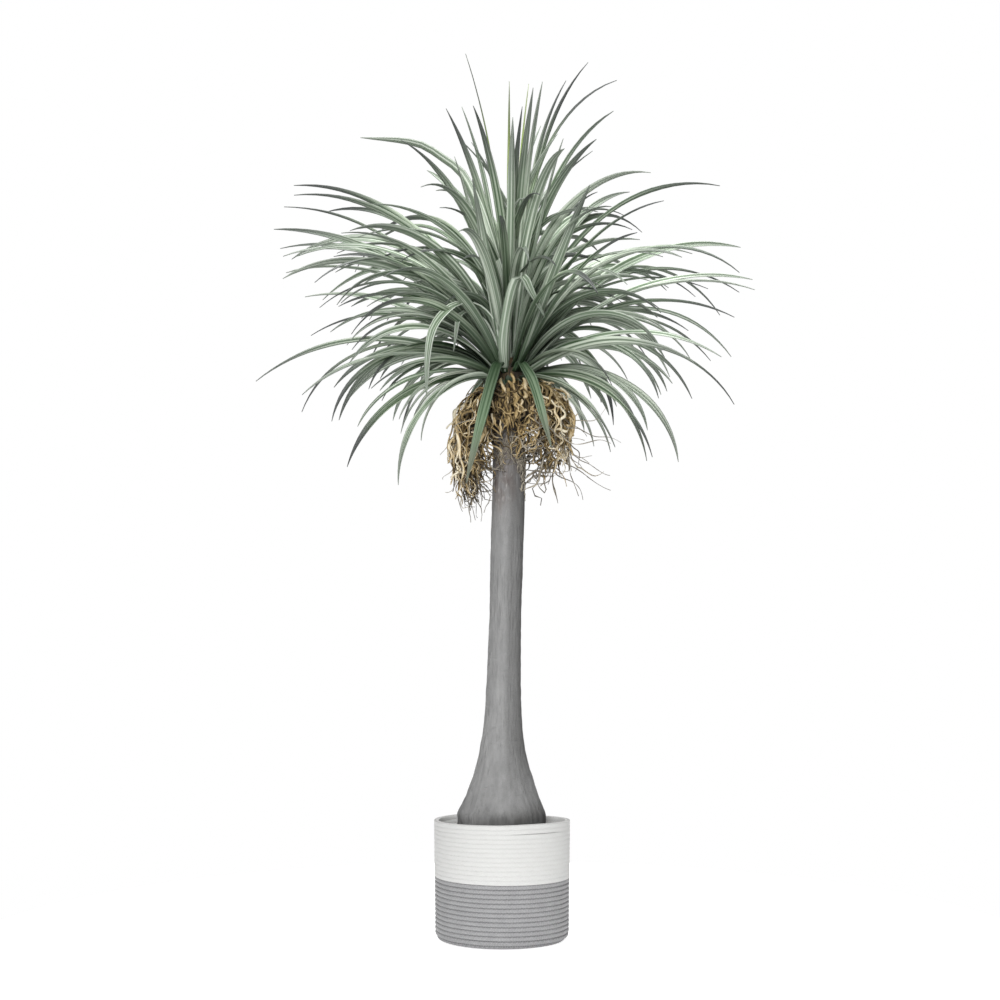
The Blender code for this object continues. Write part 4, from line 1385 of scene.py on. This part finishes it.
@dataclass
class Crown:
    """The crown: a growing tip and its leaves."""

    trunk: Trunk
    height: float = 0.960
    width: float = 0.0185
    slender_width: float = 0.0075
    seed: int = 11
    # Pieces that the broad leaves are shared among, faces of each leaf, and its thickness
    parts: int = 16
    faces_across: int = 6
    faces_along: int = 25
    thickness: float = 0.0011
    # Size of the growing tip, and the height of its middle over the trunk
    tip_size: tuple = (0.031, 0.031, 0.060)
    tip_height: float = 0.012
    # Height over the trunk at which it is cut level, and its tone
    tip_cut: float = 0.0004
    tip_tone: float = 0.2
    # Least and most share of a leaf's width, and most degrees of roll and twist: of the first leaves, then of
    # those between them
    own: tuple = ((0.88, 1.08), 50, 40)
    own_between: tuple = ((0.85, 1.1), 60, 45)

    # Tips across to the right, up, back, degrees above the horizon at the tip, how late the leaf bends
    seen: tuple = (
        # upright leaves round the growing point
        (0.135, 0.525, 0.02, 50, 3.0), (0.180, 0.475, -0.05, 15, 3.0), (0.170, 0.405, -0.12, 22, 2.5),
        (0.100, 0.515, 0.10, 55, 2.5), (0.055, 0.470, -0.06, 75, 2.0), (0.005, 0.400, -0.10, 86, 2.0),
        (-0.080, 0.430, -0.05, 66, 2.0), (-0.090, 0.325, -0.14, 60, 2.0), (-0.060, 0.275, -0.20, 55, 2.0),
        (0.085, 0.340, -0.20, 50, 2.0),
        # right side, from the top down
        (0.125, 0.255, -0.25, 40, 1.5), (0.165, 0.360, 0.30, 20, 1.5), (0.365, 0.320, 0.06, -8, 1.6),
        (0.225, 0.360, 0.30, 12, 1.5), (0.245, 0.240, -0.20, 3, 1.5), (0.250, 0.290, 0.33, -20, 1.4),
        (0.195, 0.170, -0.30, 0, 1.6), (0.405, 0.220, 0.10, -8, 1.4), (0.380, 0.145, -0.08, -42, 1.5),
        (0.415, 0.150, 0.02, -10, 1.2), (0.400, 0.110, -0.12, -20, 1.2), (0.410, 0.150, 0.16, -28, 1.2),
        (0.375, 0.075, -0.05, -27, 1.1), (0.380, 0.115, 0.20, -50, 1.3), (0.385, 0.025, 0.08, -52, 1.2),
        (0.340, -0.005, -0.16, -32, 1.0), (0.365, 0.035, 0.22, -42, 1.1),
        (0.290, -0.025, -0.24, -30, 1.0), (0.375, -0.070, -0.04, -60, 1.2),
        (0.325, -0.040, 0.16, -62, 1.2), (0.290, -0.160, 0.05, -82, 1.1),
        (0.230, -0.165, -0.14, -72, 1.1), (0.245, -0.150, 0.17, -76, 1.0),
        (0.165, -0.155, -0.22, -58, 1.0), (0.190, -0.080, 0.24, -88, 1.2),
        (0.170, -0.035, 0.28, -75, 1.2),
        # left side, from the top down
        (-0.375, 0.325, 0.08, 0, 1.6), (-0.355, 0.270, -0.10, -8, 1.4), (-0.385, 0.275, 0.02, 2, 1.5),
        (-0.335, 0.310, 0.24, -5, 1.5), (-0.395, 0.225, -0.04, -2, 1.4), (-0.405, 0.225, 0.14, -8, 1.3),
        (-0.370, 0.165, -0.12, -22, 1.4), (-0.375, 0.190, 0.05, -35, 1.5),
        (-0.275, 0.140, -0.26, -15, 1.3), (-0.390, 0.175, 0.10, -12, 1.2),
        (-0.375, 0.135, -0.08, -32, 1.3), (-0.285, 0.210, 0.30, -50, 1.5), (-0.365, 0.145, 0.18, -4, 1.1),
        (-0.265, 0.070, -0.24, -40, 1.3), (-0.230, 0.040, -0.28, -36, 1.2),
        (-0.205, 0.120, 0.34, -50, 1.3), (-0.350, 0.070, 0.14, -27, 1.1),
        (-0.425, -0.030, -0.03, -38, 1.0), (-0.355, -0.075, 0.04, -68, 1.2),
        (-0.340, -0.060, -0.10, -42, 1.0), (-0.250, 0.020, 0.28, -52, 1.2),
        (-0.295, -0.100, -0.06, -78, 1.2), (-0.300, -0.080, 0.14, -72, 1.1),
        (-0.220, -0.060, -0.20, -38, 1.0), (-0.270, -0.175, -0.05, -72, 1.0),
        (-0.180, -0.210, -0.14, -88, 1.0),
    )
    slender: tuple = (
        (-0.075, 0.540, 0.02, 72, 1.5), (0.000, 0.495, 0.03, 88, 2.0), (0.035, 0.515, 0.12, 68, 1.5),
    )
    # Leaves that fill the crown, between a low and a high one: reach, up, end slope
    ranks: tuple = (
        (0.23, -0.15, -82), (0.36, -0.01, -55), (0.41, 0.14, -30), (0.33, 0.30, -5), (0.09, 0.44, 62),
    )
    # How far a filling leaf may be from its rank: shares of the reach, metres up, degrees of slope
    fill_reach: tuple = (0.9, 1.06)
    fill_shift: float = 0.025
    fill_slope: float = 10
    fill_bend: float = 1.3
    # How many fill it behind and in front, the middle of each sector and the lowest rank there
    fill: tuple = ((24, 90, 0.0), (15, -90, 0.34))
    fill_sector: float = 100
    fill_gap: float = 0.1
    golden: float = 0.618034
    # More leaves between those: count, middle and width of the sector, lowest and highest rank, place of the
    # root from the lowest to the highest, least and most reach, how late they bend
    more: tuple = (
        (26, 0, 92, 0.04, 0.60, (0.05, 0.60), (0.62, 0.98), 1.15),
        (30, 180, 92, 0.04, 0.62, (0.05, 0.60), (0.62, 0.98), 1.15),
        (12, 90, 110, 0.05, 0.64, (0.05, 0.70), (0.75, 1.00), 1.3),
        (14, 90, 170, 0.20, 0.62, (-0.30, 0.0), (0.65, 0.95), 0.75),
        (18, -90, 170, 0.42, 0.68, (-0.30, 0.0), (0.45, 0.80), 0.75),
        (5, -90, 200, 0.86, 0.93, (-0.25, 0.1), (0.50, 0.90), 0.9),
    )
    slim: float = 0.84
    # Leaves with a bend of their own: width, tone, degrees of roll, face, and points from the crown's centre
    bent: tuple = (
        # two that fall towards the viewer
        (0.0205, 0.30, -8, LeafFace.FRESH, (
            (-0.010, -0.030, -0.016), (-0.017, -0.041, -0.001), (-0.022, -0.054, -0.012),
            (-0.041, -0.094, -0.085), (-0.071, -0.132, -0.207),
        )),
        (0.0185, 0.45, 10, LeafFace.FRESH, (
            (0.010, -0.028, -0.014), (0.018, -0.040, -0.001), (0.024, -0.056, -0.010),
            (0.038, -0.084, -0.040), (0.057, -0.112, -0.110), (0.068, -0.124, -0.149),
        )),
        # one with a kink
        (0.0200, 0.90, 0, LeafFace.UPPER, (
            (-0.006, -0.030, -0.014), (-0.008, -0.070, 0.034), (0.002, -0.095, 0.097),
            (0.013, -0.108, 0.130), (0.022, -0.112, 0.131), (0.034, -0.120, 0.106),
            (0.057, -0.135, 0.062),
        )),
        # two at the left whose ends hang
        (0.0165, 0.88, -20, LeafFace.UPPER, (
            (-0.012, -0.030, -0.014), (-0.031, -0.060, 0.066), (-0.049, -0.080, 0.085),
            (-0.071, -0.100, 0.090), (-0.097, -0.125, 0.078), (-0.122, -0.145, 0.045),
            (-0.131, -0.155, 0.004), (-0.134, -0.165, -0.070),
        )),
        (0.0120, 0.80, -15, LeafFace.UPPER, (
            (-0.014, -0.026, -0.010), (-0.040, -0.060, 0.062), (-0.068, -0.085, 0.078),
            (-0.082, -0.095, 0.070), (-0.089, -0.104, 0.030), (-0.092, -0.110, 0.010),
        )),
        # one that nods among the upright ones
        (0.0130, 0.85, 0, LeafFace.UPPER, (
            (0.000, -0.026, 0.000), (-0.006, -0.050, 0.160), (0.000, -0.060, 0.235),
            (0.010, -0.064, 0.262), (0.022, -0.066, 0.272), (0.040, -0.068, 0.268),
        )),
        # one that turns level at the upper left
        (0.0230, 1.00, 30, LeafFace.UPPER, (
            (-0.004, -0.020, 0.000), (-0.014, -0.034, 0.120), (-0.047, -0.048, 0.234),
            (-0.081, -0.052, 0.313), (-0.109, -0.052, 0.337), (-0.154, -0.050, 0.365),
            (-0.250, -0.045, 0.379),
        )),
    )

    def bent_leaf(self, width: float, tone: float, roll: float, face: LeafFace, points: tuple) -> Leaf:
        """A leaf with a bend of its own.

        Args:
            width: How wide it is.
            tone: Its own shade, 0 to 1.
            roll: How far its face is turned, in degrees.
            face: Its finish.
            points: Points of its middle line from the crown's centre, across, back and up.

        Returns:
            The leaf.
        """
        across, back, up = points[-1]
        leaf = Leaf(across, up, back, 0, 1, width, tone=tone, roll=math.radians(roll), face=face)
        centre = Vector((self.trunk.lean(self.trunk.top), 0, self.height))
        leaf.course = [centre + spot for spot in curve_through(points, Leaf.steps)]
        return leaf

    def settle(self, leaf: Leaf, own: tuple, rng: random.Random, tones: random.Random) -> None:
        """Draws what is a leaf's own, and works out its course.

        Args:
            leaf: The leaf.
            own: Least and most share of its width, and most degrees by which it rolls and twists.
            rng: The draw of those.
            tones: The draw of its tone.
        """
        widths, roll, twist = own
        leaf.width *= rng.uniform(*widths)
        leaf.roll = math.radians(rng.uniform(-roll, roll))
        leaf.twist = math.radians(rng.uniform(-twist, twist))
        leaf.tone = tones.random()
        leaf.set_course(self.trunk, self.height)

    def more_leaves(self) -> list[Leaf]:
        """The leaves between the others, and those with a bend of their own."""
        rng = random.Random(self.seed + 2)
        leaves = []
        for count, middle, sector, lowest, highest, places, reaches, bend in self.more:
            for index in range(count):
                share = (index + 0.5) / count
                turn = math.radians(middle + sector * ((index * self.golden + 0.3) % 1 - 0.5))
                leaf = self.fill_leaf(lowest + (highest - lowest) * share, turn, rng)
                size = rng.uniform(*reaches)
                leaf.across, leaf.back, leaf.bend = leaf.across * size, leaf.back * size, bend
                leaf.place = places[0] + (places[1] - places[0]) * share
                leaf.width *= self.slim
                self.settle(leaf, self.own_between, rng, rng)
                leaves.append(leaf)
        return leaves + [self.bent_leaf(*row) for row in self.bent]

    def fill_leaf(self, rank: float, turn: float, rng: random.Random) -> Leaf:
        """A leaf of the crown's filling.

        Args:
            rank: From the lowest, 0, to the highest, 1.
            turn: Where it points.
            rng: The draw.

        Returns:
            The leaf.
        """
        place = rank * (len(self.ranks) - 1)
        low = min(int(place), len(self.ranks) - 2)
        share = place - low
        reach, up, end = (a + (b - a) * share for a, b in zip(self.ranks[low], self.ranks[low + 1]))
        reach *= rng.uniform(*self.fill_reach)
        up += rng.uniform(-self.fill_shift, self.fill_shift)
        end += rng.uniform(-self.fill_slope, self.fill_slope)
        return Leaf(reach * math.cos(turn), up, reach * math.sin(turn), end, self.fill_bend, self.width)

    def leaves(self) -> list[Leaf]:
        """Every leaf. The steeper it starts, the higher its root."""
        rng = random.Random(self.seed)
        leaves = [Leaf(*row, self.width) for row in self.seen]
        for count, middle, lowest in self.fill:
            for index in range(count):
                rank = lowest + (1 - lowest) * (index + 0.5) / count
                aside = (index * self.golden) % 1 - 0.5
                aside = math.copysign(self.fill_gap + (1 - 2 * self.fill_gap) * abs(aside), aside)
                leaves.append(self.fill_leaf(rank, math.radians(middle + self.fill_sector * aside), rng))
        leaves += [Leaf(*row, self.slender_width, face=LeafFace.YOUNG) for row in self.slender]
        leaves.sort(key=lambda leaf: leaf.arc_to(leaf.reach, leaf.up)[1])
        tones = random.Random(self.seed + 1)
        for rank, leaf in enumerate(leaves):
            leaf.place = (rank + 0.5) / len(leaves)
            self.settle(leaf, self.own, rng, tones)
        return leaves + self.more_leaves()

    def build_tip(self) -> bpy.types.Object:
        """Makes the growing tip, a low dome of leaf bases."""
        bm = new_ribbons()
        centre = Matrix.Translation((self.trunk.lean(self.trunk.top), 0, self.trunk.top + self.tip_height))
        dome = centre @ Matrix.Diagonal((*self.tip_size, 1))
        bmesh.ops.create_uvsphere(bm, u_segments=36, v_segments=20, radius=1, matrix=dome)
        layer = bm.verts.layers.float["tone"]
        for vert in bm.verts:
            vert.co.z = max(vert.co.z, self.trunk.top + self.tip_cut)
            vert[layer] = self.tip_tone
        return new_piece("crown_tip", bm, [FibreFinish(FibreKind.MAT).material()], "crown")

    def build_leaves(self, name: str, leaves: list[Leaf], finishes: list[bpy.types.Material]) -> None:
        """Makes one piece of several leaves.

        Args:
            name: The piece's name.
            leaves: Its leaves.
            finishes: The finish of the upper face, then that of the underside.
        """
        bm = new_ribbons()
        for leaf in leaves:
            add_ribbon(bm, self.faces_across, self.faces_along, leaf.tone, leaf.spot)
        piece = new_piece(name, bm, finishes, "crown")
        thicken(piece, self.thickness, 1)

    def build(self) -> None:
        """Builds the growing tip and the leaves, in pieces by the way they point."""
        self.build_tip()
        finishes = {face: LeafFinish(face).material() for face in LeafFace}
        leaves = sorted(self.leaves(), key=lambda leaf: leaf.turn)
        broad = [leaf for leaf in leaves if leaf.face is LeafFace.UPPER]
        for part in range(self.parts):
            first, last = (len(broad) * edge // self.parts for edge in (part, part + 1))
            pair = [finishes[LeafFace.UPPER], finishes[LeafFace.UNDER]]
            self.build_leaves(f"crown_leaves_{part}", broad[first:last], pair)
        for face in (LeafFace.YOUNG, LeafFace.FRESH):
            chosen = [leaf for leaf in leaves if leaf.face is face]
            self.build_leaves(f"crown_leaves_{face.name.lower()}", chosen, [finishes[face]] * 2)


@dataclass
class Studio:
    """Pale floor, soft light and the camera."""

    camera_place: Place = (-0.0034, -3.2, 0.579)
    camera_pitch: float = 2.745
    lens: float = 68.4
    sky: float = 0.30
    floor_radius: float = 0.9
    # Each light's place, width and power in watts
    lights: tuple = (
        ((-0.55, -3.4, 2.0), 1.5, 112),
        ((1.8, -2.2, 0.2), 1.2, 6),
        ((0.1, 0.0, 3.2), 1.6, 80),
    )
    aim: Place = (0.0, 0.0, 0.8)
    sensor: float = 36.0
    floor_gap: float = 0.0005
    floor_glow: float = 0.76

    def build_camera(self) -> None:
        """Sets up the camera at the photograph's angle."""
        camera = bpy.data.cameras.new("camera")
        camera.lens = self.lens
        camera.sensor_width = self.sensor
        holder = bpy.data.objects.new("camera", camera)
        holder.location = self.camera_place
        holder.rotation_euler = (math.radians(90 + self.camera_pitch), 0, 0)
        bpy.context.scene.collection.objects.link(holder)
        bpy.context.scene.camera = holder

    def build_light(self) -> None:
        """Sets up the softboxes and an even white surround."""
        for index, (place, width, power) in enumerate(self.lights):
            light = bpy.data.lights.new(f"softbox_{index}", "AREA")
            light.size = width
            light.energy = power
            holder = bpy.data.objects.new(light.name, light)
            holder.location = place
            holder.rotation_euler = (Vector(self.aim) - Vector(place)).to_track_quat("-Z", "Y").to_euler()
            bpy.context.scene.collection.objects.link(holder)
        world = bpy.data.worlds.new("surround")
        world.use_nodes = True
        tree = world.node_tree
        surround = tree.nodes["Background"]
        surround.inputs["Color"].default_value = (1, 1, 1, 1)
        surround.inputs["Strength"].default_value = self.sky
        backdrop = tree.nodes.new("ShaderNodeBackground")
        backdrop.inputs["Color"].default_value = (1, 1, 1, 1)
        blend = tree.nodes.new("ShaderNodeMixShader")
        tree.links.new(tree.nodes.new("ShaderNodeLightPath").outputs["Is Camera Ray"], blend.inputs[0])
        tree.links.new(surround.outputs[0], blend.inputs[1])
        tree.links.new(backdrop.outputs[0], blend.inputs[2])
        tree.links.new(blend.outputs[0], tree.nodes["World Output"].inputs[0])
        bpy.context.scene.world = world
        bpy.context.scene.view_settings.view_transform = "Standard"

    def build_floor(self) -> None:
        """Lays a plain pale floor."""
        bm = bmesh.new()
        bmesh.ops.create_circle(bm, cap_ends=True, segments=96, radius=self.floor_radius)
        mesh = bpy.data.meshes.new("floor")
        bm.to_mesh(mesh)
        bm.free()
        glow = {"Emission_Color": (1, 1, 1, 1), "Emission_Strength": self.floor_glow}
        dull = {"Base_Color": (0.9, 0.9, 0.9, 1), "Roughness": 1.0, "Specular_IOR_Level": 0.0}
        paint = Recipe("pale_floor", **dull, **glow)
        mesh.materials.append(paint.material)
        floor = bpy.data.objects.new("floor", mesh)
        floor.location.z = -self.floor_gap
        bpy.context.scene.collection.objects.link(floor)

    def build(self) -> None:
        """Builds the studio."""
        self.build_camera()
        self.build_light()
        self.build_floor()
        LOG.info("studio: camera, %d lights and floor", len(self.lights))


def main() -> None:
    """Builds the pieces in order."""
    logging.basicConfig(level=logging.INFO, format="%(name)s %(message)s")
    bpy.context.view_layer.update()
    Studio().build()
    RopeBasket().build()
    GrowPot().build()
    trunk = Trunk()
    trunk.build()
    Skirt(trunk).build()
    Crown(trunk).build()


if __name__ == "__main__":
    main()
